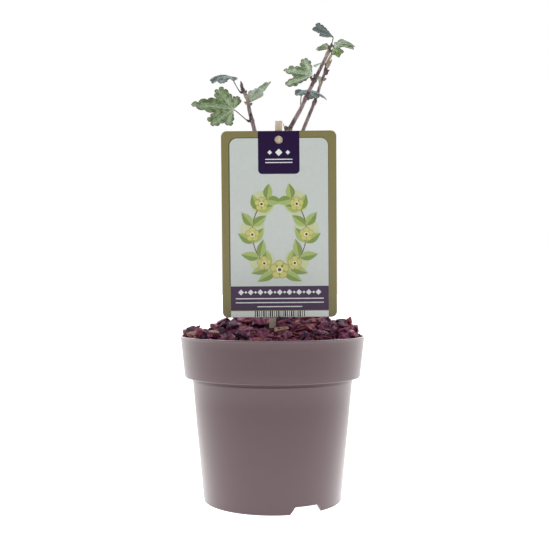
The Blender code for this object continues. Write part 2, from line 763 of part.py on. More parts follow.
def limb_rows(limb):
    """Centres and radii along a limb, with extra rows at its nodes."""
    route = smooth_route(limb.way, LIMB_STEP)
    along = lengths_along(route)
    length = along[-1]
    places = {distance / length for distance in along}
    for share, _ in limb.knots:
        places |= {share, share - KNOT_SPREAD / length, share + KNOT_SPREAD / length}
    shares = sorted(place for place in places if 0 <= place <= 1)
    shares = [shares[0]] + [b for a, b in zip(shares, shares[1:]) if (b - a) * length > SHORTEST_ROW or b == 1]
    return [(point_at(route, along, share * length), limb_radius(limb, share, length)) for share in shares]


def point_at(route, along, distance):
    """The point at a distance along a route."""
    for (start, begin), (end, finish) in zip(zip(route, along), zip(route[1:], along[1:])):
        if distance <= finish:
            return start.lerp(end, (distance - begin) / (finish - begin))
    return route[-1].copy()


def place_on_limb(limb, share):
    """Centre, direction and radius of a limb at a share of its length."""
    route = smooth_route(limb.way, LIMB_STEP)
    along = lengths_along(route)
    distance = share * along[-1]
    centre = point_at(route, along, distance)
    near = point_at(route, along, max(0.0, distance - MM))
    far = point_at(route, along, min(along[-1], distance + MM))
    return centre, (far - near).normalized(), limb_radius(limb, share, along[-1])


def tube(bm, rows, sides, level_foot=False):
    """Adds a closed tube through (centre, radius) rows, its flat ends square to its run or its foot level."""
    rings = []
    across = None
    for i, (centre, radius) in enumerate(rows):
        behind = rows[max(i - 1, 0)][0]
        ahead = rows[min(i + 1, len(rows) - 1)][0]
        run = Vector((0, 0, 1)) if level_foot and i == 0 else (ahead - behind).normalized()
        if across is None:
            across = run.orthogonal().normalized()
        across = (across - run * across.dot(run)).normalized()
        other = run.cross(across)
        turn = 2 * math.pi / sides
        rings.append(
            [
                bm.verts.new(centre + (across * math.cos(turn * k) + other * math.sin(turn * k)) * radius)
                for k in range(sides)
            ]
        )
    for lower, upper in zip(rings, rings[1:]):
        for k in range(sides):
            following = (k + 1) % sides
            bm.faces.new((lower[k], lower[following], upper[following], upper[k]))
    bm.faces.new(reversed(rings[0]))
    bm.faces.new(rings[-1])


def limb_piece(limb, finish=None, grow=0.0):
    """A limb as its own object, or the room it takes if grown by a gap."""
    bm = bmesh.new()
    rows = [(centre, radius + grow) for centre, radius in limb_rows(limb)]
    if grow:
        centre, radius = rows[-1]
        ahead = (centre - rows[-2][0]).normalized()
        rows.append((centre + ahead * grow, radius))
    tube(bm, rows, LIMB_SIDES, limb.flare > 0)
    return add_object(limb.name, bm, finish)


def build_limbs():
    """The leg and its three boughs, each cut clear of the leg where it leaves it."""
    bark = material("stem_bark", (0.13, 0.06, 0.065), 0.6)
    limb_piece(LEG, bark)
    for bough in BOUGHS:
        piece = limb_piece(bough, bark)
        combine(piece, [limb_piece(LEG, None, GAP)], "DIFFERENCE")


def lobe_angles(lobes):
    """The angle of each lobe from the midrib."""
    middle = (lobes - 1) / 2
    return [(i - middle) * LOBE_ANGLE for i in range(lobes)]


def outline_reach(leaf, lobe, share):
    """How far the outline reaches, against the blade's length, at a share of a lobe's half width."""
    lengths = LOBE_LENGTHS[leaf.lobes]
    neighbour = lobe + (1 if share > 0 else -1)
    if 0 <= neighbour < len(lengths):
        sinus = SINUS_DEPTH * (lengths[lobe] + lengths[neighbour]) / 2
    else:
        sinus = BASE_SINUS
    away = abs(share)
    return sinus + (lengths[lobe] - sinus) * (1 - away**2.3)


def outline_rays(leaf):
    """(angle, reach) of each point round the blade's outline."""
    angles = lobe_angles(leaf.lobes)
    rays = []
    for lobe, angle in enumerate(angles):
        shares = LOBE_SHARES if lobe else (-1.0,) + LOBE_SHARES
        for share in shares:
            turned = angle + share * LOBE_ANGLE / 2
            spread = leaf.fan[0] if turned > 0 else leaf.fan[1]
            rays.append((turned * spread, outline_reach(leaf, lobe, share)))
    return rays


def blade_frame(leaf):
    """Joint, chord direction, side, face and blade length of a leaf, whose chord runs joint to tip."""
    joint = Vector(leaf.joint) * MM
    chord = Vector(leaf.tip) * MM - joint
    half = math.radians(leaf.arch) / 2
    length = chord.length * (half / math.sin(half) if abs(half) > 1e-6 else 1.0)
    along = chord.normalized()
    face = Vector(leaf.face)
    face = (face - along * face.dot(along)).normalized()
    return joint, along, face.cross(along), face, length


def blade_point(leaf, angle, reach):
    """The place of a blade point given as an angle from the midrib and a reach against the blade's length."""
    joint, along, side, face, length = blade_frame(leaf)
    run = reach * math.cos(angle)
    across = reach * math.sin(angle) * leaf.broad
    bend = math.radians(leaf.arch)
    if abs(bend) < 1e-6 or run <= 0:
        forward = run * math.cos(bend / 2)
        lift = run * math.sin(bend / 2)
        lean = bend / 2
    else:
        lean = bend / 2 - bend * run
        forward = (math.sin(bend / 2) - math.sin(lean)) / bend
        lift = (math.cos(lean) - math.cos(bend / 2)) / bend
    fold = math.radians(leaf.fold)
    rise = abs(across) * math.sin(fold) - leaf.cup * across**2
    forward -= rise * math.sin(lean)
    lift += rise * math.cos(lean)
    return joint + (along * forward + side * across * math.cos(fold) + face * lift) * length


def blade_piece(leaf):
    """One blade, from a fan of rings round its joint, given its thickness."""
    bm = bmesh.new()
    rays = outline_rays(leaf)
    middle = bm.verts.new(blade_point(leaf, 0, 0))
    rings = []
    for ring in range(1, leaf.rings + 1):
        share = ring / leaf.rings
        rings.append([bm.verts.new(blade_point(leaf, angle, reach * share)) for angle, reach in rays])
    for first, second in zip(rings[0], rings[0][1:]):
        bm.faces.new((middle, first, second))
    for inner, outer in zip(rings, rings[1:]):
        for i in range(len(inner) - 1):
            bm.faces.new((inner[i], outer[i], outer[i + 1], inner[i + 1]))
    blade = add_object("blade", bm)
    thicken = blade.modifiers.new("thickness", "SOLIDIFY")
    thicken.thickness = BLADE_THICKNESS if blade_frame(leaf)[-1] > SMALL_BLADE else SMALL_THICKNESS
    thicken.offset = 0
    thicken.use_even_offset = True
    return blade


def stalk_rows(leaf, start, run):
    """A stalk's rows from a spur's end to the blade, then sunk along its midrib."""
    joint = Vector(leaf.joint) * MM
    inward = (blade_point(leaf, 0, 0.1) - joint).normalized()
    reach = (joint - start).length
    first = start + run * reach * STALK_EASE
    last = joint - inward * reach * STALK_EASE
    rows = []
    for i in range(STALK_STEPS + 1):
        t = i / STALK_STEPS
        spot = start * (1 - t) ** 3 + first * 3 * t * (1 - t) ** 2 + last * 3 * t**2 * (1 - t) + joint * t**3
        rows.append((spot, STALK_RADIUS))
    for reach_in, share in STALK_SUNK:
        rows.append((blade_point(leaf, 0, reach_in), STALK_RADIUS * share))
    return rows


def spray_root(spray):
    """Where a spray's spur starts, just clear of its limb, and the way it leaves it."""
    limb = next(bough for bough in BOUGHS if bough.name == spray.limb)
    centre, run, radius = place_on_limb(limb, spray.share)
    side = Vector(spray.side)
    if spray.share == 1.0:
        return centre + run * GAP, run
    side = (side - run * side.dot(run)).normalized()
    return centre + side * (radius + GAP), side


def build_spray(spray):
    """A spray: its spur, stalks and blades fused into one body."""
    root, side = spray_root(spray)
    lean = (side + Vector((0, 0, 0.5))).normalized()
    bend = root + side * spray.spur * SPUR_BEND
    end = bend + lean * spray.spur * (1 - SPUR_BEND)
    bm = bmesh.new()
    tube(bm, list(zip((root, bend, end), SPUR_RADII)), SPUR_SIDES)
    finish = material(f"{spray.name}_green", spray.tint, 0.55)
    piece = add_object(spray.name, bm, finish)
    parts = []
    for leaf in spray.leaves:
        stalk = bmesh.new()
        tube(stalk, stalk_rows(leaf, end - lean * SPUR_OVERLAP, lean), STALK_SIDES)
        parts.append(add_object("stalk", stalk))
        parts.append(blade_piece(leaf))
    combine(piece, parts, "UNION", "MANIFOLD")
    return piece


def main():
    """Clears the scene and builds the bush from the pot up."""
    for old in list(bpy.data.objects):
        bpy.data.objects.remove(old)
    build_pot()
    build_compost()
    build_mulch()
    build_card()
    stick_piece("card_stick", 0.0, material("split_wood", (0.55, 0.42, 0.30), 0.7))
    build_limbs()
    for spray in SPRAYS:
        build_spray(spray)


main()
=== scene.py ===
"""The looks of a young gooseberry bush in its round nursery pot.

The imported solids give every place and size, and finer meshes stand for them here: a turned plastic pot, a
mound of bark mulch, a printed card on a split-wood stick, three barked stems and their lobed, veined leaves.
Lengths are in metres unless a name or a docstring says millimetres, +Z is up and the card faces -Y.
"""

import logging
import random
from bisect import bisect_left
from dataclasses import dataclass, field
from enum import Enum
from functools import cache
from itertools import accumulate
from math import atan2, cos, dist, exp, hypot, pi, radians, sin, sqrt, tan
from typing import Callable, Iterable, Sequence

import bmesh
import bpy
from mathutils import Euler, Matrix, Vector, noise
from mathutils.bvhtree import BVHTree


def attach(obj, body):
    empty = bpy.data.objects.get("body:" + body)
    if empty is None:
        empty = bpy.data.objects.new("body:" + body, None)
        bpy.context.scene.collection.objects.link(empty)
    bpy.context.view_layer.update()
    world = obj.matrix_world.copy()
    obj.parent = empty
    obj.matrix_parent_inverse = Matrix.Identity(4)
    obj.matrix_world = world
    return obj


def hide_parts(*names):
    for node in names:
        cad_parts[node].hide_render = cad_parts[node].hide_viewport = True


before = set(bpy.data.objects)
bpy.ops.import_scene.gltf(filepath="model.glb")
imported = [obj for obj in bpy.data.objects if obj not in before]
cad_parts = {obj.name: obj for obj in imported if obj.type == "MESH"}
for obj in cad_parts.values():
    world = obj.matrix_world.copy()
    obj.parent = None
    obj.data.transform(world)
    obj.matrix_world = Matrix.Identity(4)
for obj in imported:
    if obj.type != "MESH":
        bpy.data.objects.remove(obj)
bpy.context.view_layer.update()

LOG = logging.getLogger("gooseberry")
BODY = "root"
MM = 0.001
UP = Vector((0, 0, 1))

Colour = tuple[float, float, float]
Flat = tuple[float, float]
Row = tuple[Vector, float]
Face = tuple[int, ...]
Socket = bpy.types.NodeSocket
Object = bpy.types.Object
BMesh = bmesh.types.BMesh

# Pot
POT_HEIGHT = 150.5 * MM
RIM_RADIUS = 85 * MM
COLLAR_HEIGHT = 37.4 * MM
COLLAR_FOOT_RADIUS = 80.4 * MM
BODY_TOP_RADIUS = 73.5 * MM
FOOT_RADIUS = 63.4 * MM
WALL = 1.4 * MM
BASE_UNDERSIDE = 8 * MM

# Mulch
GAP = 0.3 * MM
COMPOST_TOP = 141.5 * MM
MULCH_RIM_LEVEL = 147 * MM
MOUND_HEIGHT = 15.5 * MM
MOUND_CENTRE = Vector((8 * MM, 16 * MM))
MOUND_CREST_RADIUS = 30 * MM
MOUND_SPREAD = 47 * MM
LEG_FOOT = Vector((3 * MM, 6 * MM, 165 * MM))
LEG_CLEARING = 8.5 * MM

# Card and stick
CARD_WIDTH = 101.7 * MM
CARD_HEIGHT = 164.8 * MM
CARD_THICKNESS = 0.5 * MM
CARD_CENTRE = Vector((6 * MM, -33 * MM, 250.4 * MM))
CARD_PITCH = radians(2.7)
CARD_ROLL = radians(-0.45)
STICK_WIDTH = 6.6 * MM
STICK_DEPTH = 2.6 * MM
STICK_OFFSET = -3.2 * MM
STICK_LEAN = radians(2.2)

# Limbs
LIMB_TIP = 4 * MM
LIMB_TIP_SHARE = 0.6
KNOT_SPREAD = 3 * MM
FLARE_HEIGHT = 9 * MM
COARSE_STEP = 11 * MM

# Buds: shares of length and radius along one scale, and each scale's size and shift outwards
BUD_PROFILE = ((0.0, 0.62), (0.18, 0.92), (0.38, 1.0), (0.6, 0.82), (0.8, 0.48), (0.94, 0.2), (1.0, 0.04))
BUD_SCALES = ((1.0, 0.0), (0.78, 0.22), (0.6, 0.3))
BUD_SIDES = 9

# Leaves
LOBE_ANGLES = {3: (-52, 0, 52), 5: (-104, -52, 0, 52, 104)}
LOBE_LENGTHS = {3: (0.74, 1.0, 0.74), 5: (0.5, 0.8, 1.0, 0.8, 0.5)}
BASE_SINUS = 0.2


class Graph:
    """A shader node tree with short ways to add nodes and join their sockets."""

    def __init__(self, tree: bpy.types.NodeTree) -> None:
        """Keeps the tree that nodes are added to."""
        self.tree = tree

    def add(self, kind: str, inputs: dict | None = None, **settings: object) -> bpy.types.Node:
        """Adds one node.

        Args:
            kind: the node's type name.
            inputs: a value or another node's output for each input, by name or number.
            settings: the node's own settings.

        Returns:
            The new node.
        """
        node = self.tree.nodes.new(kind)
        for name, value in settings.items():
            setattr(node, name, value)
        for key, value in (inputs or {}).items():
            self.feed(node.inputs[key], value)
        return node

    def feed(self, socket: Socket, value: object) -> None:
        """Links an output to an input socket, or sets the socket's own value."""
        if isinstance(value, Socket):
            self.tree.links.new(value, socket)
        else:
            socket.default_value = value

    def group(self, tree: bpy.types.NodeTree, inputs: dict) -> bpy.types.bpy_prop_collection:
        """Adds a node group and returns its outputs."""
        return self.add("ShaderNodeGroup", inputs, node_tree=tree).outputs

    def mix(self, share: object, first: object, second: object) -> Socket:
        """Mixes two colours by a share and returns the colour output."""
        return self.add("ShaderNodeMix", {0: share, 6: first, 7: second}, data_type="RGBA").outputs[2]

    def maths(self, operation: str, first: object, second: object) -> Socket:
        """Works out one sum on two values and returns the result."""
        return self.add("ShaderNodeMath", {0: first, 1: second}, operation=operation).outputs[0]

    def ramp(self, value: object, low: float, high: float, start: float = 0, end: float = 1) -> Socket:
        """Maps a value between low and high to start and end, held at both ends."""
        inputs = {"Value": value, "From Min": low, "From Max": high, "To Min": start, "To Max": end}
        return self.add("ShaderNodeMapRange", inputs, clamp=True).outputs[0]

    def noise(self, vector: object, scale: object, detail: float = 3.0) -> Socket:
        """Adds a noise texture and returns its value."""
        return self.add("ShaderNodeTexNoise", {"Vector": vector, "Scale": scale, "Detail": detail}).outputs[0]


def start_group(name: str, inputs: dict[str, str], outputs: dict[str, str]) -> tuple:
    """Makes an empty node group with named sockets.

    Args:
        name: the group's name.
        inputs: the socket kind of each input.
        outputs: the socket kind of each output.

    Returns:
        The group's graph, its input node's outputs and its output node's inputs.
    """
    tree = bpy.data.node_groups.new(name, "ShaderNodeTree")
    for side, sockets in (("INPUT", inputs), ("OUTPUT", outputs)):
        for label, kind in sockets.items():
            tree.interface.new_socket(name=label, in_out=side, socket_type=f"NodeSocket{kind}")
    graph = Graph(tree)
    return graph, graph.add("NodeGroupInput").outputs, graph.add("NodeGroupOutput").inputs


@cache
def mottle() -> bpy.types.NodeTree:
    """The effect of two colours in soft patches."""
    inputs = dict(Vector="Vector", Scale="Float", Contrast="Float", First="Color", Second="Color")
    graph, given, out = start_group("mottle", inputs, dict(Color="Color", Mask="Float"))
    patches = graph.noise(given["Vector"], given["Scale"], 4.0)
    swing = graph.maths("MULTIPLY", graph.maths("SUBTRACT", patches, 0.5), given["Contrast"])
    mask = graph.ramp(swing, -0.5, 0.5)
    graph.feed(out["Color"], graph.mix(mask, given["First"], given["Second"]))
    graph.feed(out["Mask"], mask)
    return graph.tree


@cache
def grit() -> bpy.types.NodeTree:
    """The effect of fine relief of two sizes."""
    graph, given, out = start_group("grit", dict(Vector="Vector", Scale="Float"), dict(Height="Float"))
    coarse = graph.noise(given["Vector"], given["Scale"], 3.0)
    fine = graph.noise(given["Vector"], graph.maths("MULTIPLY", given["Scale"], 4.1), 2.0)
    graph.feed(out["Height"], graph.maths("ADD", coarse, graph.maths("MULTIPLY", fine, 0.4)))
    return graph.tree


@cache
def fibre() -> bpy.types.NodeTree:
    """The effect of streaks that run along the axis whose stretch is small."""
    inputs = dict(Vector="Vector", Scale="Float", Stretch="Vector")
    graph, given, out = start_group("fibre", inputs, dict(Mask="Float", Height="Float"))
    pair = {0: given["Vector"], 1: given["Stretch"]}
    drawn = graph.add("ShaderNodeVectorMath", pair, operation="MULTIPLY").outputs[0]
    streaks = graph.noise(drawn, given["Scale"], 5.0)
    graph.feed(out["Mask"], graph.ramp(streaks, 0.42, 0.62))
    graph.feed(out["Height"], streaks)
    return graph.tree


@cache
def specks() -> bpy.types.NodeTree:
    """The effect of small scattered specks."""
    inputs = dict(Vector="Vector", Scale="Float", Size="Float")
    graph, given, out = start_group("specks", inputs, dict(Mask="Float"))
    cells = graph.add("ShaderNodeTexVoronoi", {"Vector": given["Vector"], "Scale": given["Scale"]})
    near = graph.maths("LESS_THAN", cells.outputs["Distance"], given["Size"])
    few = graph.maths("GREATER_THAN", graph.noise(given["Vector"], 45.0, 1.0), 0.56)
    graph.feed(out["Mask"], graph.maths("MULTIPLY", near, few))
    return graph.tree


@dataclass(frozen=True)
class Finish:
    """A matt surface mottled between two colours, with fine relief."""

    name: str
    first: Colour
    second: Colour
    roughness: float = 0.6
    patch_scale: float = 250.0
    contrast: float = 2.0
    relief_scale: float = 900.0
    relief_depth: float = 0.15 * MM
    relief_strength: float = 0.35
    coat: float = 0.0
    coat_roughness: float = 0.3
    specular: float = 0.5

    def colours(self, graph: Graph, place: Socket) -> Socket:
        """The colour over the surface."""
        inputs = {
            "Vector": place,
            "Scale": self.patch_scale,
            "Contrast": self.contrast,
            "First": (*self.first, 1.0),
            "Second": (*self.second, 1.0),
        }
        return graph.group(mottle(), inputs)["Color"]

    def relief(self, graph: Graph, place: Socket) -> Socket:
        """The height over the surface."""
        return graph.group(grit(), {"Vector": place, "Scale": self.relief_scale})["Height"]

    @cache
    def material(self) -> bpy.types.Material:
        """Makes the material once and hands it out from then on.

        Returns:
            The material of this finish.
        """
        made = bpy.data.materials.new(self.name)
        made.use_nodes = True
        graph = Graph(made.node_tree)
        shader = made.node_tree.nodes["Principled BSDF"]
        place = graph.add("ShaderNodeTexCoord").outputs["Object"]
        graph.feed(shader.inputs["Base Color"], self.colours(graph, place))
        shader.inputs["Roughness"].default_value = self.roughness
        shader.inputs["Specular IOR Level"].default_value = self.specular
        shader.inputs["Coat Weight"].default_value = self.coat
        shader.inputs["Coat Roughness"].default_value = self.coat_roughness
        height = self.relief(graph, place)
        bump = {"Strength": self.relief_strength, "Distance": self.relief_depth, "Height": height}
        graph.feed(shader.inputs["Normal"], graph.add("ShaderNodeBump", bump).outputs[0])
        return made


@dataclass(frozen=True)
class SpeckledFinish(Finish):
    """A moulded or printed surface with a few small specks of dust."""

    speck_colour: Colour = (0.05, 0.04, 0.04)
    speck_scale: float = 160.0
    speck_size: float = 0.05

    def colours(self, graph: Graph, place: Socket) -> Socket:
        """The mottled colour with specks over it."""
        ground = super().colours(graph, place)
        inputs = {"Vector": place, "Scale": self.speck_scale, "Size": self.speck_size}
        mask = graph.group(specks(), inputs)["Mask"]
        return graph.mix(graph.maths("MULTIPLY", mask, 0.6), ground, (*self.speck_colour, 1.0))


@dataclass(frozen=True)
class FibreFinish(Finish):
    """Wood or bark, streaked by a third colour along its grain."""

    streak: Colour = (0.3, 0.2, 0.2)
    fibre_scale: float = 900.0
    stretch: tuple[float, float, float] = (1.0, 1.0, 0.07)
    streak_share: float = 0.6

    def fibres(self, graph: Graph, place: Socket) -> bpy.types.bpy_prop_collection:
        """The outputs of the fibre effect, placed for this grain."""
        return graph.group(fibre(), {"Vector": place, "Scale": self.fibre_scale, "Stretch": self.stretch})

    def colours(self, graph: Graph, place: Socket) -> Socket:
        """The mottled colour with streaks over it."""
        ground = super().colours(graph, place)
        mask = self.fibres(graph, place)["Mask"]
        return graph.mix(graph.maths("MULTIPLY", mask, self.streak_share), ground, (*self.streak, 1.0))

    def relief(self, graph: Graph, place: Socket) -> Socket:
        """Fine relief with the fibres standing out of it."""
        fine = super().relief(graph, place)
        return graph.maths("ADD", graph.maths("MULTIPLY", fine, 0.4), self.fibres(graph, place)["Height"])


@dataclass(frozen=True)
class BladeFinish(Finish):
    """A leaf's surface: soft patches and a net of sunken veinlets, with painted shade along them."""

    net_scale: float = 560.0
    net_share: float = 0.45
    net_shade: float = 0.5

    def net(self, graph: Graph, place: Socket) -> Socket:
        """Distance from the veinlets of a fine net."""
        inputs = {"Vector": place, "Scale": self.net_scale}
        return graph.add("ShaderNodeTexVoronoi", inputs, feature="DISTANCE_TO_EDGE").outputs["Distance"]

    def colours(self, graph: Graph, place: Socket) -> Socket:
        """The patches with painted shade along the net's sunken lines."""
        ground = super().colours(graph, place)
        # painted shade: the colour that darkens the sunken lines
        dark = tuple(part * self.net_shade for part in self.first)
        lines = graph.ramp(self.net(graph, place), 0.0, 0.16, self.net_share, 0.0)
        return graph.mix(lines, ground, (*dark, 1.0))

    def relief(self, graph: Graph, place: Socket) -> Socket:
        """Cushions between the veinlets."""
        return graph.ramp(self.net(graph, place), 0.0, 0.22)


@dataclass(frozen=True)
class LeafFinish:
    """The colours of one green: darkest and palest upper side, zone beside the veins, underside and vein."""

    dark: Colour
    light: Colour
    halo: Colour
    under: Colour
    vein: Colour
    margin: Colour = (0.06, 0.035, 0.032)

    def blade_finishes(self, label: str) -> list[Finish]:
        """The finishes in the order of a blade's slots: upper side, beside the veins, underside, margin."""
        mean = tuple((one + other) / 2 for one, other in zip(self.dark, self.light))
        pale = tuple(part * 1.25 for part in self.halo)
        under_dark = tuple(part * 0.75 for part in self.under)
        margin_light = tuple(part * 2.1 for part in self.margin)
        return [
            BladeFinish(f"leaf_{label}_upper", self.dark, self.light, 0.5, 240.0, 4.2, relief_strength=0.7),
            BladeFinish(f"leaf_{label}_halo", mean, pale, 0.5, 240.0, 3.4, relief_strength=0.6),
            BladeFinish(f"leaf_{label}_under", under_dark, self.under, 0.62, 300.0, 3.5),
            Finish(f"leaf_{label}_margin", self.margin, margin_light, 0.55, 420.0, 4.0),
        ]

    def vein_finish(self, label: str) -> Finish:
        """The veins' finish."""
        return Finish(f"vein_{label}", self.vein, tuple(part * 0.8 for part in self.vein), 0.5, 500.0, 3.0)


class Tone(Enum):
    """The greens that the leaves are dealt."""

    GREEN = LeafFinish(
        (0.055, 0.11, 0.026), (0.225, 0.31, 0.13), (0.30, 0.40, 0.24), (0.24, 0.33, 0.19), (0.52, 0.6, 0.44)
    )
    MIST = LeafFinish(
        (0.065, 0.12, 0.04), (0.26, 0.35, 0.2), (0.32, 0.41, 0.27), (0.28, 0.36, 0.235), (0.56, 0.63, 0.5),
        (0.09, 0.065, 0.055),
    )
    FRESH = LeafFinish(
        (0.08, 0.15, 0.03), (0.25, 0.38, 0.125), (0.29, 0.41, 0.17), (0.25, 0.36, 0.16), (0.42, 0.52, 0.28)
    )
    BLUE = LeafFinish(
        (0.055, 0.085, 0.08), (0.22, 0.285, 0.28), (0.24, 0.31, 0.3), (0.2, 0.26, 0.25), (0.4, 0.47, 0.45),
        (0.03, 0.035, 0.037),
    )
    # Painted shade: a darker copy of the blue tone, for a leaf seen from below in its own shade.
    SLATE = LeafFinish(
        (0.04, 0.052, 0.055), (0.125, 0.155, 0.16), (0.13, 0.165, 0.17), (0.12, 0.15, 0.155),
        (0.17, 0.21, 0.21), (0.035, 0.035, 0.04),
    )
    PALE = LeafFinish(
        (0.22, 0.30, 0.19), (0.46, 0.55, 0.42), (0.48, 0.57, 0.44), (0.40, 0.48, 0.37), (0.58, 0.64, 0.54),
        (0.15, 0.13, 0.12),
    )


POT_PLASTIC = SpeckledFinish(
    "taupe_plastic", (0.071, 0.0335, 0.0405), (0.078, 0.037, 0.044), 0.36, 90.0, 1.2, 1500.0, 0.05 * MM, 0.05,
    coat=0.7, coat_roughness=0.36, specular=0.3,
)
# Painted highlight: a paler plastic for the top of the rim's lip, standing in for the light the lip catches.
RIM_HIGHLIGHT_PLASTIC = Finish(
    "rubbed_plastic", (0.13, 0.075, 0.083), (0.24, 0.16, 0.17), 0.4, 500.0, 3.0, 1500.0, 0.05 * MM, 0.1,
    coat=0.9, coat_roughness=0.2,
)
COMPOST = Finish(
    "dark_compost", (0.02, 0.013, 0.011), (0.045, 0.028, 0.022), 0.95, 400.0, 3.0, 700.0, 1.2 * MM, 0.9
)
MOUND_SOIL = Finish(
    "mulch_soil", (0.012, 0.004, 0.009), (0.035, 0.012, 0.02), 0.9, 500.0, 3.0, 600.0, 1.2 * MM, 0.9
)


def bark(name: str, dark: Colour, light: Colour, streak: Colour, stretch: tuple) -> FibreFinish:
    """A bark chip's finish: fibrous, patchy and slightly moist."""
    return FibreFinish(
        name, dark, light, 0.62, 190.0, 4.0, 700.0, 0.7 * MM, 0.9, specular=0.3,
        streak=streak, fibre_scale=330.0, stretch=stretch, streak_share=0.62,
    )


CHIP_FINISHES = (
    bark("bark_plum", (0.028, 0.002, 0.015), (0.145, 0.015, 0.066), (0.36, 0.11, 0.195), (1.0, 0.35, 0.8)),
    bark("bark_red", (0.066, 0.004, 0.018), (0.22, 0.032, 0.056), (0.48, 0.19, 0.22), (0.35, 1.0, 0.8)),
    bark("bark_dark", (0.011, 0.001, 0.012), (0.045, 0.005, 0.034), (0.14, 0.04, 0.095), (1.0, 0.35, 0.8)),
    bark("bark_tan", (0.18, 0.08, 0.06), (0.36, 0.2, 0.15), (0.55, 0.38, 0.31), (0.4, 1.0, 1.0)),
)
SPLIT_WOOD = FibreFinish(
    "raw_split_wood", (0.47, 0.38, 0.285), (0.61, 0.52, 0.40), 0.65, 150.0, 2.0, 900.0, 0.3 * MM, 0.5,
    streak=(0.31, 0.22, 0.15), fibre_scale=1100.0, stretch=(1.0, 1.0, 0.035), streak_share=0.55,
)
STEM_BARK = FibreFinish(
    "young_bark", (0.085, 0.045, 0.052), (0.21, 0.14, 0.145), 0.5, 110.0, 4.0, 900.0, 0.25 * MM, 0.6,
    streak=(0.40, 0.31, 0.32), fibre_scale=850.0, stretch=(1.0, 1.0, 0.1), streak_share=0.6,
)
STEM_DARK = FibreFinish(
    "node_bark", (0.025, 0.010, 0.018), (0.09, 0.045, 0.055), 0.5, 300.0, 4.0, 900.0, 0.25 * MM, 0.7,
    streak=(0.2, 0.13, 0.13), fibre_scale=850.0, stretch=(1.0, 1.0, 0.2), streak_share=0.4,
)
STEM_YOUNG = FibreFinish(
    "shoot_bark", (0.22, 0.15, 0.13), (0.38, 0.33, 0.24), 0.5, 220.0, 4.0, 900.0, 0.2 * MM, 0.5,
    streak=(0.16, 0.08, 0.09), fibre_scale=850.0, stretch=(1.0, 1.0, 0.15), streak_share=0.5,
)
BUD_BROWN = Finish("bud_brown", (0.045, 0.02, 0.03), (0.11, 0.06, 0.06), 0.5, 500.0, 3.0, coat=0.15)
BUD_GREEN = Finish("bud_green", (0.27, 0.3, 0.14), (0.36, 0.36, 0.2), 0.55, 400.0, 2.0)
BUD_SCALE = Finish("bud_scale", (0.18, 0.12, 0.11), (0.42, 0.33, 0.3), 0.55, 600.0, 4.0)
STALK_PURPLE = Finish("stalk_purple", (0.09, 0.06, 0.065), (0.15, 0.12, 0.11), 0.5, 300.0, 2.0)
STALK_GREEN = Finish("stalk_green", (0.22, 0.27, 0.17), (0.28, 0.31, 0.2), 0.5, 300.0, 2.0)


class Ink(Enum):
    """The card's colours, those of its print first, in the order of its slots."""

    PANEL = (0.52, 0.556, 0.532)
    SHADE = (0.09, 0.07, 0.035)
    PURPLE = (0.020, 0.008, 0.042)
    BAND = (0.053, 0.024, 0.068)
    WHITE = (0.71, 0.745, 0.73)
    WASH = (0.50, 0.54, 0.33)
    STEM = (0.10, 0.06, 0.045)
    LEAF_LIGHT = (0.34, 0.42, 0.15)
    LEAF_DARK = (0.20, 0.28, 0.075)
    PETAL = (0.53, 0.51, 0.17)
    PETAL_SHADE = (0.36, 0.35, 0.085)
    GLINT = (0.70, 0.71, 0.42)
    BLACK = (0.012, 0.011, 0.014)
    OLIVE = (0.212, 0.185, 0.077)
    BACK = (0.62, 0.63, 0.6)

    def finish(self) -> Finish:
        """This ink on the card's satin film."""
        second = tuple(part * 0.93 for part in self.value)
        return Finish(
            f"ink_{self.name.lower()}", self.value, second, 0.16, 350.0, 1.5, 1800.0, 0.01 * MM, 0.04,
            specular=0.25,
        )


def polar(radius: float, angle: float, centre: Flat = (0.0, 0.0)) -> Flat:
    """The flat point at a radius and an angle round a centre."""
    return centre[0] + radius * cos(angle), centre[1] + radius * sin(angle)


def rotation(angles: Sequence[float]) -> Matrix:
    """The turn by angles about X, Y and Z in this order."""
    return Euler(angles).to_matrix().to_4x4()


def linked(name: str, data: bpy.types.ID) -> Object:
    """A new object of the data, linked to the scene."""
    made = bpy.data.objects.new(name, data)
    bpy.context.scene.collection.objects.link(made)
    return made


def smooth(mesh: bpy.types.Mesh, sharp: float) -> None:
    """Shades a mesh smooth, but for edges from an angle in degrees on."""
    mesh.shade_smooth()
    mesh.set_sharp_from_angle(angle=radians(sharp))


@dataclass
class MeshStore:
    """Gathers the shapes of one joined piece, with a slot for each face."""

    vertices: list[Vector] = field(default_factory=list)
    faces: list[Face] = field(default_factory=list)
    slots: list[int] = field(default_factory=list)

    def add(self, vertices: Sequence[Vector], faces: Iterable[Face], slot: int | Sequence[int]) -> None:
        """Adds one shape.

        Args:
            vertices: the shape's points.
            faces: each face as numbers of those points.
            slot: the material slot of all faces, or one for each.
        """
        start = len(self.vertices)
        self.vertices.extend(vertices)
        faces = [tuple(start + index for index in face) for face in faces]
        self.faces.extend(faces)
        self.slots.extend([slot] * len(faces) if isinstance(slot, int) else slot)

    def add_bmesh(self, bm: BMesh, slot: int) -> None:
        """Adds a bmesh as one shape and frees it."""
        bm.verts.index_update()
        faces = [[vert.index for vert in face.verts] for face in bm.faces]
        self.add([vert.co.copy() for vert in bm.verts], faces, slot)
        bm.free()

    def piece(self, name: str, finishes: Sequence[Finish], sharp: float = 40.0) -> Object:
        """Makes the object.

        Args:
            name: the piece's name.
            finishes: the finish of each slot.
            sharp: the angle in degrees from which an edge isn't smoothed.

        Returns:
            The linked object.
        """
        mesh = bpy.data.meshes.new(name)
        mesh.from_pydata([tuple(vertex) for vertex in self.vertices], [], self.faces)
        mesh.polygons.foreach_set("material_index", self.slots)
        for finish in finishes:
            mesh.materials.append(finish.material())
        smooth(mesh, sharp)
        return linked(name, mesh)


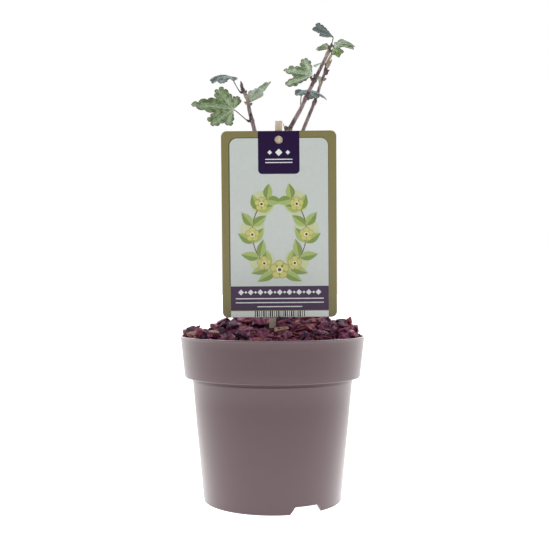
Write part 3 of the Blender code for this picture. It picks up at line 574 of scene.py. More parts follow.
def seat(piece: Object, nodes: Sequence[str] = ()) -> None:
    """Gives a piece its body and the solids that it stands for.

    Args:
        piece: the finished piece.
        nodes: the solids that it replaces.
    """
    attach(piece, BODY)
    if nodes:
        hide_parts(*nodes)
    LOG.info("%s: %d faces", piece.name, len(piece.data.polygons))


def object_from_bmesh(name: str, bm: BMesh) -> Object:
    """Turns a bmesh into a linked object."""
    bmesh.ops.recalc_face_normals(bm, faces=bm.faces)
    mesh = bpy.data.meshes.new(name)
    bm.to_mesh(mesh)
    bm.free()
    return linked(name, mesh)


def round_cutter(name: str, radius: float, depth: float, segments: int) -> Object:
    """An upright round rod to cut a hole with."""
    bm = bmesh.new()
    bmesh.ops.create_cone(bm, cap_ends=True, segments=segments, radius1=radius, radius2=radius, depth=depth)
    return object_from_bmesh(name, bm)


def apply_modifiers(piece: Object) -> None:
    """Keeps a piece's evaluated mesh and drops its modifiers."""
    graph = bpy.context.evaluated_depsgraph_get()
    mesh = bpy.data.meshes.new_from_object(piece.evaluated_get(graph))
    piece.modifiers.clear()
    piece.data = mesh


def cut(piece: Object, cutters: Sequence[Object]) -> None:
    """Cuts a piece with closed cutters and removes them."""
    for cutter in cutters:
        boolean = piece.modifiers.new("cut", "BOOLEAN")
        boolean.operation = "DIFFERENCE"
        boolean.solver = "EXACT"
        boolean.object = cutter
    apply_modifiers(piece)
    for cutter in cutters:
        bpy.data.objects.remove(cutter)


def dress(piece: Object, finishes: Sequence[Finish], is_second: Callable[..., bool], sharp: float) -> None:
    """Gives a cut piece its two finishes and smooths it.

    Args:
        piece: the piece.
        finishes: the first and the second finish.
        is_second: tells whether a face has the second one.
        sharp: the angle in degrees from which an edge isn't smoothed.
    """
    piece.data.materials.clear()
    for finish in finishes:
        piece.data.materials.append(finish.material())
    for face in piece.data.polygons:
        face.material_index = int(is_second(face))
    smooth(piece.data, sharp)


def loft(rings: Sequence[Sequence[Sequence[float]]], capped: bool = False) -> BMesh:
    """A skin over rings of points in turn.

    Args:
        rings: the rings, all of one count of points but for those of a single point.
        capped: True to close the first and the last ring.

    Returns:
        The skin.
    """
    bm = bmesh.new()
    made = [[bm.verts.new(spot) for spot in ring] for ring in rings]
    for low, high in zip(made, made[1:]):
        count = max(len(low), len(high))
        for side in range(count):
            ahead = (side + 1) % count
            corners = ((low, side), (low, ahead), (high, ahead), (high, side))
            bm.faces.new(list(dict.fromkeys(ring[place % len(ring)] for ring, place in corners)))
    for ring in (made[0], made[-1]) if capped else ():
        bm.faces.new(ring)
    return bm


def prism(outline: Sequence[Flat], start: float, end: float) -> BMesh:
    """Extrudes a closed outline of (x, z) points along Y from start to end."""
    bm = bmesh.new()
    face = bm.faces.new([bm.verts.new((x, start, z)) for x, z in outline])
    extruded = bmesh.ops.extrude_face_region(bm, geom=[face])
    moved = [item for item in extruded["geom"] if isinstance(item, bmesh.types.BMVert)]
    bmesh.ops.translate(bm, verts=moved, vec=(0, end - start, 0))
    return bm


def ring_frame(run: Vector, across: Vector | None) -> tuple[Vector, Vector]:
    """Two directions square to a run, the first as near the last ring's as can be."""
    across = run.orthogonal().normalized() if across is None else across
    across = (across - run * across.dot(run)).normalized()
    return across, run.cross(across)


def tube_faces(rows: int, sides: int) -> list[Face]:
    """The faces of a closed tube of rows of points: its side row by row, then both ends."""
    faces = []
    for low in range(0, (rows - 1) * sides, sides):
        for side in range(sides):
            following = (side + 1) % sides
            faces.append((low + side, low + following, low + sides + following, low + sides + side))
    return [*faces, tuple(reversed(range(sides))), tuple(range((rows - 1) * sides, rows * sides))]


def add_tube(
    store: MeshStore,
    rows: Sequence[Row],
    sides: int,
    slot: int,
    relief: Callable[[float, int], float] | None = None,
) -> None:
    """Adds a closed tube through rows of centre and radius.

    Args:
        store: where the tube goes.
        rows: centre and radius of each ring.
        sides: points round each ring.
        slot: the material slot.
        relief: gives the factor on the radius at an angle and a row number.
    """
    points: list[Vector] = []
    across = None
    for number, (centre, radius) in enumerate(rows):
        behind = rows[max(number - 1, 0)][0]
        ahead = rows[min(number + 1, len(rows) - 1)][0]
        across, other = ring_frame((ahead - behind).normalized(), across)
        for side in range(sides):
            angle = 2 * pi * side / sides
            reach = radius * (relief(angle, number) if relief else 1.0)
            points.append(centre + (across * cos(angle) + other * sin(angle)) * reach)
    store.add(points, tube_faces(len(rows), sides), slot)


def add_bud(store: MeshStore, root: Vector, way: Vector, length: float, radius: float, slot: int) -> None:
    """Adds a pointed bud of three overlapping scales.

    Args:
        store: where the bud goes.
        root: its foot.
        way: the way it points, of length 1.
        length: its length.
        radius: its greatest radius.
        slot: the material slot.
    """
    side = way.orthogonal().normalized()
    for turn, (share, shift) in enumerate(BUD_SCALES):
        out = (Matrix.Rotation(2.2 * turn, 3, way) @ side) * radius * shift
        rows = [
            (root + out + (way * length - out * 0.6) * share * along, radius * wide * (0.72 + 0.28 * share))
            for along, wide in BUD_PROFILE
        ]
        add_tube(store, rows, BUD_SIDES, slot)


@dataclass(frozen=True)
class Limb:
    """A tapering limb: the places it passes in millimetres, its radii and its swollen nodes.

    knots gives each node's share of the length and its swelling in millimetres, and zones gives stretches of
    another bark, as shares of the length and the bark's slot.
    """

    name: str
    way: tuple
    foot_radius: float
    tip_radius: float
    knots: tuple = ()
    flare: float = 0.0
    zones: tuple = ()

    def route(self, step: float) -> list[Vector]:
        """Points at about even steps along a smooth curve through the limb's places.

        Args:
            step: the distance between points.

        Returns:
            The points, in metres.
        """
        places = [Vector(place) * MM for place in self.way]
        places = [places[0] * 2 - places[1]] + places + [places[-1] * 2 - places[-2]]
        route = [places[1].copy()]
        for before, start, end, after in zip(places, places[1:], places[2:], places[3:]):
            turn = 2 * before - 5 * start + 4 * end - after
            twist = 3 * start - before - 3 * end + after
            count = max(1, round((end - start).length / step))
            for t in (index / count for index in range(1, count + 1)):
                route.append(0.5 * (2 * start + (end - before) * t + turn * t**2 + twist * t**3))
        return route

    def radius(self, share: float, length: float) -> float:
        """The radius at a share of the length: an even taper, swollen nodes and a flare at the foot."""
        radius = self.foot_radius + (self.tip_radius - self.foot_radius) * share
        for place, swell in self.knots:
            away = abs(share - place) * length / KNOT_SPREAD
            radius += swell * MM * max(0.0, 1 - away) ** 1.5
        from_tip = (1 - share) * length / LIMB_TIP
        if self.flare:
            radius += self.flare * max(0.0, 1 - share * length / FLARE_HEIGHT) ** 2
        elif from_tip < 1:
            radius *= LIMB_TIP_SHARE + (1 - LIMB_TIP_SHARE) * from_tip
        return radius

    def place(self, share: float) -> tuple[Vector, Vector, float]:
        """Centre, direction and radius at a share of the length."""
        route = self.route(COARSE_STEP)
        along = lengths_along(route)
        distance = share * along[-1]
        near = point_at(route, along, max(0.0, distance - MM))
        far = point_at(route, along, min(along[-1], distance + MM))
        return point_at(route, along, distance), (far - near).normalized(), self.radius(share, along[-1])


def lengths_along(route: Sequence[Vector]) -> list[float]:
    """Distance of each point of a route from its start."""
    return list(accumulate(((end - start).length for start, end in zip(route, route[1:])), initial=0.0))


def stretch_at(along: Sequence[float], distance: float) -> tuple[int, float]:
    """The number of the point that ends the stretch at a distance, and how far into the stretch it is."""
    index = min(max(bisect_left(along, distance), 1), len(along) - 1)
    return index, (distance - along[index - 1]) / (along[index] - along[index - 1])


def point_at(route: Sequence[Vector], along: Sequence[float], distance: float) -> Vector:
    """The point at a distance along a route."""
    index, share = stretch_at(along, distance)
    return route[index - 1].lerp(route[index], min(max(share, 0.0), 1.0))


@dataclass(frozen=True)
class Leaf:
    """A leaf: where its stalk meets the blade and where the blade's tip is, in millimetres, and its form.

    face is the way the upper side looks, fold the lift of each half about the midrib in degrees, arch the
    turn of the midrib from base to tip in degrees, cup the droop of its sides and broad the width against a
    flat round leaf. angles are the lobes' turns from the midrib in degrees, and lengths their lengths, where
    they differ from the usual ones. notches tell how far out the notches between lobes lie, and teeth how
    high the teeth stand.
    """

    joint: tuple
    tip: tuple
    face: tuple
    fold: float = 10
    arch: float = 25
    cup: float = 0.08
    broad: float = 1.0
    lobes: int = 5
    tone: Tone = Tone.GREEN
    angles: tuple = ()
    lengths: tuple = ()
    notches: tuple = (0.6,)
    teeth: float = 1.0


@dataclass(frozen=True)
class Spray:
    """A spur that leaves a limb at a share of its length towards a side, and the leaves on it.

    spur is its length in millimetres.
    """

    name: str
    limb: str
    share: float
    side: tuple
    spur: float
    leaves: tuple
    green_stalk: bool = False


@dataclass(frozen=True)
class Bud:
    """A bud at a share of a limb's length, pointing to a side; its length and radius are in millimetres."""

    share: float
    side: tuple
    length: float
    radius: float
    slot: int = 1


LEG = Limb(
    "leg",
    ((3, 6, 165), (3.6, 6.3, 174), (3, 6.8, 186), (2.5, 7, 199)),
    5.0 * MM,
    4.6 * MM,
    ((0.45, 0.7),),
    2.4 * MM,
)

BOUGHS = (
    Limb(
        "left_bough",
        ((2, 7, 188.5), (-5.5, 9.5, 207), (-9, 12, 242), (-10, 11, 278), (-12.5, 8, 314), (-16.8, 6, 340.7),
         (-21.5, 8, 359.4), (-23.3, 9, 370.4), (-29.6, 10, 384)),
        2.9 * MM,
        1.7 * MM,
        ((0.18, 0.5), (0.45, 0.5), (0.62, 0.5), (0.82, 0.7), (0.94, 0.4)),
        zones=((0.93, 1.0, 1), (0.87, 0.915, 2), (0.812, 0.83, 1), (0.44, 0.46, 1), (0.17, 0.19, 1)),
    ),
    Limb(
        "front_bough",
        ((3, 5, 183), (9.5, -1, 201), (11, -4, 250), (10, -6, 292), (11.4, -7.5, 324), (15.1, -8, 338.6),
         (25, -10, 355.8), (33.1, -11, 373.1), (40.6, -12, 388), (47, -12, 400.7), (53, -12, 413.8)),
        3.1 * MM,
        1.5 * MM,
        ((0.2, 0.5), (0.42, 0.6), (0.61, 1.1), (0.655, 1.0), (0.785, 0.7), (0.86, 0.9),
         (0.97, 0.7)),
        zones=((0.642, 0.672, 1), (0.775, 0.795, 1), (0.815, 0.875, 1), (0.935, 0.965, 2), (0.965, 0.985, 1),
               (0.985, 1.0, 2)),
    ),
    Limb(
        "back_bough",
        ((4, 9, 192.5), (8.5, 14.5, 210), (13, 18, 252), (18.5, 19, 292), (24.5, 18, 327), (28.8, 18, 342.9),
         (39.2, 20, 368.6), (44.7, 20, 384.9), (50, 19, 399.1), (51.2, 18, 406.1), (55.9, 16, 414.5)),
        2.9 * MM,
        1.3 * MM,
        ((0.22, 0.5), (0.4, 0.5), (0.6, 0.5), (0.79, 0.9), (0.93, 0.8)),
        zones=((0.775, 0.8, 1), (0.895, 0.93, 1), (0.93, 1.0, 2)),
    ),
)

SPRAYS = (
    Spray("left_tip_spray", "left_bough", 0.965, (-1, -0.1, 0.5), 1.6,
        (Leaf((-39.6, 14, 392.6), (-58.5, 13, 387.6), (-0.25, -0.45, 1), -18, 60, 0.25, 0.85, tone=Tone.BLUE,
              angles=(-128, -60, -22, 20, 46, 110), lengths=(0.5, 0.72, 0.97, 1.0, 0.86, 0.4),
              notches=(0.7, 0.8, 0.9, 0.85, 0.6)),)),
    Spray("left_wide_spray", "left_bough", 0.82, (-1, -0.35, 0.1), 1.8,
        (Leaf((-36.1, -2, 358.6), (-73.4, -10, 360.6), (0.05, -1, 0.25), 8, 12, 0.1,
              angles=(-106, -47, 0, 43, 74), lengths=(0.33, 0.61, 0.99, 0.75, 0.48),
              notches=(0.5, 0.58, 0.6, 0.68)),)),
    Spray("left_inner_spray", "left_bough", 0.9, (1, 0.5, 0.2), 1.2,
        (Leaf((-23.6, 10, 366.8), (-0.7, 13, 386.7), (-0.55, -0.8, 0.8), 10, -14, 0.03, 0.78, 3, Tone.PALE,
              (-42, 0, 42), (0.62, 1.0, 0.62), (0.96,), 0.55),), True),
    Spray("left_low_spray", "left_bough", 0.17, (-0.7, 0.7, 0.15), 3,
        (
            Leaf((-24, 27, 245), (-43, 44, 235), (-0.35, 0.3, 1), 12, 35),
            Leaf((-12, 30, 256), (-14, 49, 264), (0, -0.45, 1), 18, 30, lobes=3, broad=0.9, tone=Tone.FRESH),
        ), True),
    Spray("left_mid_spray", "left_bough", 0.45, (-0.8, -0.3, 0.2), 2.4,
        (Leaf((-26, 1, 294), (-41, -12, 287), (-0.4, -0.2, 1), 10, 32, broad=0.85),)),
    Spray("left_high_spray", "left_bough", 0.62, (-0.2, 1, 0.2), 2.6,
        (
            Leaf((-20, 29, 321), (-30, 52, 313), (-0.2, 0.35, 1), 14, 30, tone=Tone.BLUE),
            Leaf((-5, 24, 328), (3, 38, 332), (0.2, -0.2, 1), 20, 22, lobes=3, tone=Tone.GREEN),
        )),
    Spray("front_tip_spray", "front_bough", 1.0, (0.2, 0, 1), 2.2,
        (
            # painted shade: the top leaf takes the darker copy of the blue tone
            Leaf((54.9, -12, 422.5), (35.6, -8, 430.6), (0.2, 0.75, 0.6), 14, 14, 0.05, 1.0, 3, Tone.SLATE,
                 (-17, 0, 20), (0.64, 0.98, 0.9), (0.82, 0.97), 0.6),
            Leaf((56.8, -11.8, 414.4), (75.3, -5, 415.4), (-0.1, -0.7, 0.7), -6, 64, 0.1, tone=Tone.MIST,
                 angles=(-62, -33, 0, 33, 62), lengths=(0.3, 0.84, 1.0, 0.86, 0.3),
                 notches=(0.8,), teeth=0.8),
            Leaf((56, -13, 412.8), (60, -18, 402.4), (0.3, -1, 0.3), 8, 10, 0.08, 1.0, 3, Tone.FRESH,
                 (-33, 0, 35), (0.88, 1.0, 0.82), (0.92,), 0.6),
            Leaf((51.5, -4, 413.6), (40.2, 3, 415.5), (-0.1, -0.7, 0.8), 10, 12, 0.08, 1.1, 3, Tone.GREEN,
                 (-42, 0, 42), (0.72, 1.0, 0.72), (0.95,), 0.6),
        )),
    Spray("front_mid_spray", "front_bough", 0.86, (-1, -0.4, 0.3), 1.6,
        (Leaf((36, -15, 387), (9.6, -21, 389.3), (0.05, -1, -0.1), 14, 14, 0.08, 1.0, 3, Tone.MIST,
              (-49, 0, 28), (0.62, 1.0, 0.99), (0.6, 0.53), 0.9),)),
    Spray("front_low_spray", "front_bough", 0.73, (0.3, 0.9, 0), 1.4,
        (Leaf((28.7, 3, 377), (50.8, 3, 369), (0.2, -0.5, 0.9), -22, 46, 0.25, 0.95, tone=Tone.BLUE,
              angles=(-130, -30, 0, 62, 130), lengths=(0.38, 0.7, 1.0, 0.72, 0.38),
              notches=(0.6, 0.85, 0.6, 0.6)),)),
    Spray("front_side_spray", "front_bough", 0.2, (0.9, -0.5, 0.1), 2.8,
        (
            Leaf((31, -12, 258), (48, -19, 252), (0.3, -0.3, 1), 12, 30, broad=0.9),
            Leaf((27, 4, 268), (41, 9, 277), (-0.3, 0.1, 1), 16, 24, lobes=3, broad=0.9, tone=Tone.FRESH),
        ), True),
    Spray("front_inner_spray", "front_bough", 0.42, (-0.8, -0.6, 0.1), 2.2,
        (Leaf((-4, -17, 302), (-21, -18, 304), (0, -0.4, 1), 12, 26, broad=0.8),)),
    Spray("back_bud_spray", "back_bough", 0.885, (-0.9, -0.5, 0.3), 1.2,
        (Leaf((44.4, 16.6, 389.3), (42.3, 15, 395), (0.6, -1, 0.2), 14, 10, lobes=3, broad=0.7,
              tone=Tone.PALE),), True),
    Spray("back_upper_spray", "back_bough", 0.955, (-0.6, 0.8, 0.1), 1.2,
        (Leaf((46.7, 22, 407), (41.2, 31, 405.5), (-0.2, -0.6, 1), 10, 20, lobes=3, tone=Tone.PALE),), True),
    Spray("back_tip_spray", "back_bough", 1.0, (0.5, 0.3, 1), 1.4,
        (Leaf((58.5, 19, 421), (60.5, 36, 423), (0.1, -0.2, 1), 12, 30, broad=0.8, tone=Tone.PALE),), True),
    Spray("back_low_spray", "back_bough", 0.22, (0.6, 0.8, 0.1), 3,
        (
            Leaf((29, 36, 268), (44, 55, 259), (0.3, 0.35, 1), 12, 34),
            Leaf((11, 40, 273), (4, 61, 274), (0, -0.3, 1), 16, 34, broad=0.95, tone=Tone.FRESH),
        ), True),
    Spray("back_mid_spray", "back_bough", 0.42, (0.9, 0.3, 0.2), 2.6,
        (Leaf((34, 24, 309), (50, 33, 303), (0.25, 0.1, 1), 12, 30, broad=0.9),)),
    Spray("back_high_spray", "back_bough", 0.6, (0.1, 1, 0.3), 2.4,
        (
            Leaf((27, 38, 332), (29, 62, 326), (0.1, 0.4, 1), 10, 32, tone=Tone.BLUE),
            Leaf((16, 30, 333), (3, 41, 336), (-0.2, -0.2, 1), 18, 24, lobes=3, broad=0.9),
        )),
)

BUDS = {
    "left_bough": (
        Bud(0.985, (-0.35, -0.3, 1), 6.5, 1.3),
        Bud(0.965, (-0.8, -0.5, 0.6), 3.6, 0.8),
        Bud(0.955, (0.7, -0.6, 0.6), 3.0, 0.8),
        Bud(0.825, (-0.6, -0.8, 0.8), 3.6, 1.3),
        Bud(0.90, (-1, -0.6, 0.1), 4.4, 1.2, 3),
        Bud(0.63, (0.8, -0.5, 0.5), 3.0, 1.2),
        Bud(0.46, (0.6, 0.6, 0.5), 3.0, 1.2),
        Bud(0.19, (-0.7, -0.5, 0.6), 3.0, 1.2),
    ),
    "front_bough": (
        Bud(0.978, (0.8, -0.5, 0.6), 3.4, 1.2),
        Bud(0.99, (-0.5, -0.6, 0.8), 3.0, 1.0),
        Bud(0.99, (0.4, -0.9, 0.8), 3.4, 0.9),
        Bud(0.87, (-0.5, -0.9, 0.6), 3.6, 1.4),
        Bud(0.855, (-0.9, -0.3, 0.4), 3.0, 1.2),
        Bud(0.785, (1, -0.5, 0.1), 3.4, 1.5),
        Bud(0.652, (-0.9, -0.5, 0.3), 4.0, 1.6),
        Bud(0.664, (0.5, -0.8, 0.4), 3.6, 1.4),
        Bud(0.43, (0.8, -0.4, 0.5), 3.0, 1.3),
        Bud(0.21, (-0.6, -0.7, 0.5), 3.0, 1.3),
    ),
    "back_bough": (
        Bud(0.925, (1, -0.4, 0.2), 3.6, 1.2),
        Bud(0.915, (1, -0.2, -0.2), 3.0, 1.2),
        Bud(0.88, (-0.8, -0.6, 0.6), 6.0, 1.2, 2),
        Bud(0.87, (-0.5, -0.9, 0.5), 5.5, 1.0, 2),
        Bud(0.89, (1, -0.6, -0.4), 3.8, 1.5, 3),
        Bud(0.79, (0.5, -0.8, 0.5), 3.6, 1.5),
        Bud(0.61, (0.8, 0.4, 0.5), 3.0, 1.2),
        Bud(0.41, (-0.7, 0.5, 0.5), 3.0, 1.2),
        Bud(0.985, (0.6, -0.6, 0.7), 3.0, 1.0, 2),
        Bud(0.94, (0.5, -0.5, 1), 10.0, 1.6, 4),
    ),
}


def limb_named(name: str) -> Limb:
    """The bough of a name."""
    return next(bough for bough in BOUGHS if bough.name == name)


@dataclass
class Stems:
    """The leg and the boughs, as tubes with the relief of young bark."""

    sides: int = 22
    step: float = 1.3 * MM
    ridge: float = 0.075
    ripple: float = 0.05
    fibre_length: float = 16 * MM
    ripple_length: float = 2.2 * MM
    crack_length: float = 9 * MM
    crack_depth: float = 0.22
    crack_start: float = 0.25
    sharp: float = 60

    def relief(self, seed: float) -> Callable[[float, int], float]:
        """The radius factor of a stem: long ridges, short ripples and a few cracks."""

        def factor(angle: float, number: int) -> float:
            """The factor at an angle and a row."""
            run = number * self.step
            ring = Vector((*polar(1, angle), 0))
            ridges = noise.noise(ring * 2.4 + Vector((seed, 0, run / self.fibre_length)))
            ripples = noise.noise(ring * 1.3 + Vector((0, seed, run / self.ripple_length)))
            cracks = noise.noise(ring * 4.5 + Vector((seed, seed, run / self.crack_length)))
            deep = self.crack_depth * max(0.0, cracks - self.crack_start)
            return 1 + self.ridge * ridges + self.ripple * ripples - deep

        return factor

    def rows(self, limb: Limb) -> list[Row]:
        """Centres and radii along a limb, closed by a rounded end."""
        route = limb.route(COARSE_STEP)
        along = lengths_along(route)
        length = along[-1]
        count = round(length / self.step)
        shares = [index / count for index in range(count + 1)]
        rows = [(point_at(route, along, share * length), limb.radius(share, length)) for share in shares]
        centre, radius = rows[-1]
        run = (centre - rows[-2][0]).normalized()
        for step in (0.35, 0.7, 0.95):
            rows.append((centre + run * radius * step * 0.3, radius * sqrt(1 - step**2)))
        return rows

    def build(self) -> None:
        """Builds one piece for the leg and one for each bough."""
        for number, limb in enumerate((LEG, *BOUGHS)):
            store = MeshStore()
            rows = self.rows(limb)
            add_tube(store, rows, self.sides, 0, self.relief(3.7 * number))
            for index in range(len(store.slots) - 2):
                ring, side = divmod(index, self.sides)
                shift = noise.noise(Vector((sin(side * 0.57), ring * 0.4, number)))
                share = ring / len(rows) + 0.008 * shift
                store.slots[index] = next((slot for low, high, slot in limb.zones if low <= share < high), 0)
            piece = store.piece(f"{limb.name}_bark", (STEM_BARK, STEM_DARK, STEM_YOUNG), self.sharp)
            seat(piece, (limb.name,))


class Blade:
    """One leaf blade: a lobed, toothed sheet with veins, worked out in flat shares of its length.

    VEIN_FORM and SIDE_VEIN_FORM give a vein's radius at its foot and at its tip, and its steps.
    """

    RAYS = 40
    FINE_RAYS = 120
    SHARES = (0.1, 0.24, 0.38, 0.52, 0.66, 0.79, 0.9)
    LOBE_FALL = 2.6
    TIP_FALL = 1.15
    TOOTH = 0.078
    TOOTH_POWER = 0.5
    TOOTH_PACE = 0.5
    TOOTH_SPREAD = (0.7, 1.3)
    TOOTH_MEAN = 0.6
    MARGIN = 0.5 * MM
    THICKNESS = 0.34 * MM
    SIDE_VEINS = (0.2, 0.36, 0.51, 0.65, 0.78)
    SIDE_ANGLE = radians(40)
    SIDE_VEIN_GAP = 0.03
    VEIN_REACH = 0.95
    VEIN_SIDES = 6
    VEIN_FORM = (0.56 * MM, 0.24 * MM, 14)
    SIDE_VEIN_FORM = (0.31 * MM, 0.2 * MM, 6)
    VALLEY = 0.055
    VALLEY_WIDTH = 0.08
    PLEAT = 0.016
    PLEAT_WIDTH = 0.03
    WAVE = 0.02
    HALO = 0.062

    def __init__(self, leaf: Leaf, seed: int) -> None:
        """Works out the blade's frame, outline and veins.

        Args:
            leaf: the leaf's place and form.
            seed: what its small unevenness is drawn from.
        """
        self.leaf = leaf
        self.lengths = leaf.lengths or LOBE_LENGTHS[leaf.lobes]
        self.angles = [radians(angle) for angle in leaf.angles or LOBE_ANGLES[leaf.lobes]]
        between = [(one + other) / 2 for one, other in zip(self.angles, self.angles[1:])]
        self.edges = [2 * self.angles[0] - between[0], *between, 2 * self.angles[-1] - between[-1]]
        self.rng = random.Random(seed)
        self.joint = Vector(leaf.joint) * MM
        chord = Vector(leaf.tip) * MM - self.joint
        self.bend = radians(leaf.arch)
        half = self.bend / 2
        self.length = chord.length * (half / sin(half) if abs(half) > 1e-6 else 1.0)
        self.along = chord.normalized()
        face = Vector(leaf.face)
        self.face = (face - self.along * face.dot(self.along)).normalized()
        self.side = self.face.cross(self.along)
        self.wave = [(self.rng.uniform(2, 5), self.rng.uniform(0, 6.3)) for _ in range(3)]
        self.base, self.toothed, self.inset = self.outlines()
        self.veins = self.main_veins()
        self.side_veins = self.lesser_veins()

    def smooth_point(self, lobe: int, share: float) -> Flat:
        """A point of the smooth outline at a share of a lobe's half width."""
        neighbour = lobe + (1 if share > 0 else -1)
        length = self.lengths[lobe]
        sinus = BASE_SINUS
        if 0 <= neighbour < len(self.lengths):
            pair = (length, self.lengths[neighbour])
            notch = self.leaf.notches[min(lobe, neighbour) % len(self.leaf.notches)]
            sinus = min(notch * sum(pair) / 2, 0.97 * min(pair))
        fall = self.TIP_FALL if length == max(self.lengths) else self.LOBE_FALL
        reach = sinus + (length - sinus) * (1 - abs(share) ** fall)
        middle = self.angles[lobe]
        return polar(reach, middle + abs(share) * (self.edges[lobe + int(share > 0)] - middle))

    def lobe_outline(self, lobe: int) -> list[Flat]:
        """Points of a lobe's smooth outline, evenly far apart along it."""
        fine = [self.smooth_point(lobe, 2 * ray / self.FINE_RAYS - 1) for ray in range(self.FINE_RAYS + 1)]
        along = list(accumulate(map(dist, fine, fine[1:]), initial=0.0))
        points = []
        for ray in range(self.RAYS + 1):
            index, share = stretch_at(along, ray / self.RAYS * along[-1])
            points.append(tuple(a + (b - a) * share for a, b in zip(fine[index - 1], fine[index])))
        return points

    def outlines(self) -> tuple[list[Flat], list[Flat], list[Flat]]:
        """The smooth outline, the toothed one and the toothed one set in by the margin."""
        base: list[Flat] = []
        bumps: list[float] = []
        for lobe, length in enumerate(self.lengths):
            points = self.lobe_outline(lobe)
            teeth = 2 * round(sum(map(dist, points, points[1:])) / self.TOOTH_PACE) + 1
            heights = [self.rng.uniform(*self.TOOTH_SPREAD) for _ in range(teeth + 1)]
            size = (0.5 + 0.5 * length) * self.leaf.teeth
            for ray in range(0 if lobe == 0 else 1, self.RAYS + 1):
                place = ray / self.RAYS
                base.append(points[ray])
                fade = min(1.0, min(place, 1 - place) / 0.07, 0.62 + 4 * abs(place - 0.5))
                scallop = abs(sin(pi * place * teeth)) ** self.TOOTH_POWER
                bumps.append((scallop * heights[int(place * teeth)] - self.TOOTH_MEAN) * fade * size)
        toothed, inset = [], []
        for index, (u, v) in enumerate(base):
            before = base[max(index - 1, 0)]
            after = base[min(index + 1, len(base) - 1)]
            run = Vector((after[0] - before[0], after[1] - before[1])).normalized()
            out = Vector((run.y, -run.x))
            push = self.TOOTH * bumps[index]
            drawn = push - self.MARGIN / self.length
            toothed.append((u + out.x * push, v + out.y * push))
            inset.append((u + out.x * drawn, v + out.y * drawn))
        return base, toothed, inset

    def main_veins(self) -> list[tuple[Flat, Flat]]:
        """A vein from the joint to near each lobe's tip."""
        lobes = zip(self.lengths, self.angles)
        return [((0.0, 0.0), polar(length * self.VEIN_REACH, angle)) for length, angle in lobes]

    def inside(self, point: Flat) -> bool:
        """True if a flat point lies well within the smooth outline."""
        angle = atan2(point[1], point[0])
        nearest = min(self.base, key=lambda spot: abs(atan2(spot[1], spot[0]) - angle))
        return hypot(*point) < 0.93 * hypot(*nearest)

    def lesser_veins(self) -> list[tuple[Flat, Flat]]:
        """Side veins that leave each main vein in pairs and stop inside the outline."""
        found = []
        for lobe, (_, tip) in enumerate(self.veins):
            length = hypot(*tip)
            angle = atan2(tip[1], tip[0])
            others = [line for number, line in enumerate(self.veins) if number != lobe]
            for share in self.SIDE_VEINS:
                for way in (-1, 1):
                    begin = (tip[0] * share, tip[1] * share)
                    turn = angle + way * self.SIDE_ANGLE * self.rng.uniform(0.85, 1.15)
                    reach = length * (0.5 - 0.36 * share)
                    while reach > 0.05:
                        end = polar(reach, turn, begin)
                        clear = all(self.beside(end, other) > self.SIDE_VEIN_GAP for other in others)
                        if clear and self.inside(end):
                            found.append((begin, end))
                            break
                        reach *= 0.82
        return found

    @staticmethod
    def beside(point: Flat, line: tuple[Flat, Flat]) -> float:
        """Distance of a flat point from a line between two flat points."""
        (ax, ay), (bx, by) = line
        run = (bx - ax, by - ay)
        share = ((point[0] - ax) * run[0] + (point[1] - ay) * run[1]) / (run[0] ** 2 + run[1] ** 2)
        share = min(max(share, 0.0), 1.0)
        return hypot(point[0] - ax - run[0] * share, point[1] - ay - run[1] * share)

    def from_vein(self, u: float, v: float) -> float:
        """Distance of a flat point from the nearest main vein."""
        return min(self.beside((u, v), line) for line in self.veins)

    def relief(self, u: float, v: float) -> float:
        """Height of the sheet between its veins, and the wave of its edge, in shares of its length."""
        lesser = min((self.beside((u, v), line) for line in self.side_veins), default=1.0)
        rise = self.VALLEY * (1 - exp(-((self.from_vein(u, v) / self.VALLEY_WIDTH) ** 2)))
        rise += self.PLEAT * (1 - exp(-((lesser / self.PLEAT_WIDTH) ** 2)))
        angle = atan2(v, u)
        wave = sum(sin(pace * angle + phase) for pace, phase in self.wave)
        return rise + self.WAVE * wave * (u * u + v * v)

    def point(self, u: float, v: float) -> Vector:
        """The place of a flat point.

        Args:
            u: share of the length along the midrib.
            v: share of the length across it.

        Returns:
            The point in metres.
        """
        across = v * self.leaf.broad
        if abs(self.bend) < 1e-6 or u <= 0:
            forward, rise, lean = u * cos(self.bend / 2), u * sin(self.bend / 2), self.bend / 2
        else:
            lean = self.bend / 2 - self.bend * u
            forward = (sin(self.bend / 2) - sin(lean)) / self.bend
            rise = (cos(lean) - cos(self.bend / 2)) / self.bend
        fold = radians(self.leaf.fold)
        height = abs(across) * sin(fold) - self.leaf.cup * across**2 + self.relief(u, v)
        forward -= height * sin(lean)
        rise += height * cos(lean)
        shift = self.along * forward + self.side * across * cos(fold) + self.face * rise
        return self.joint + shift * self.length

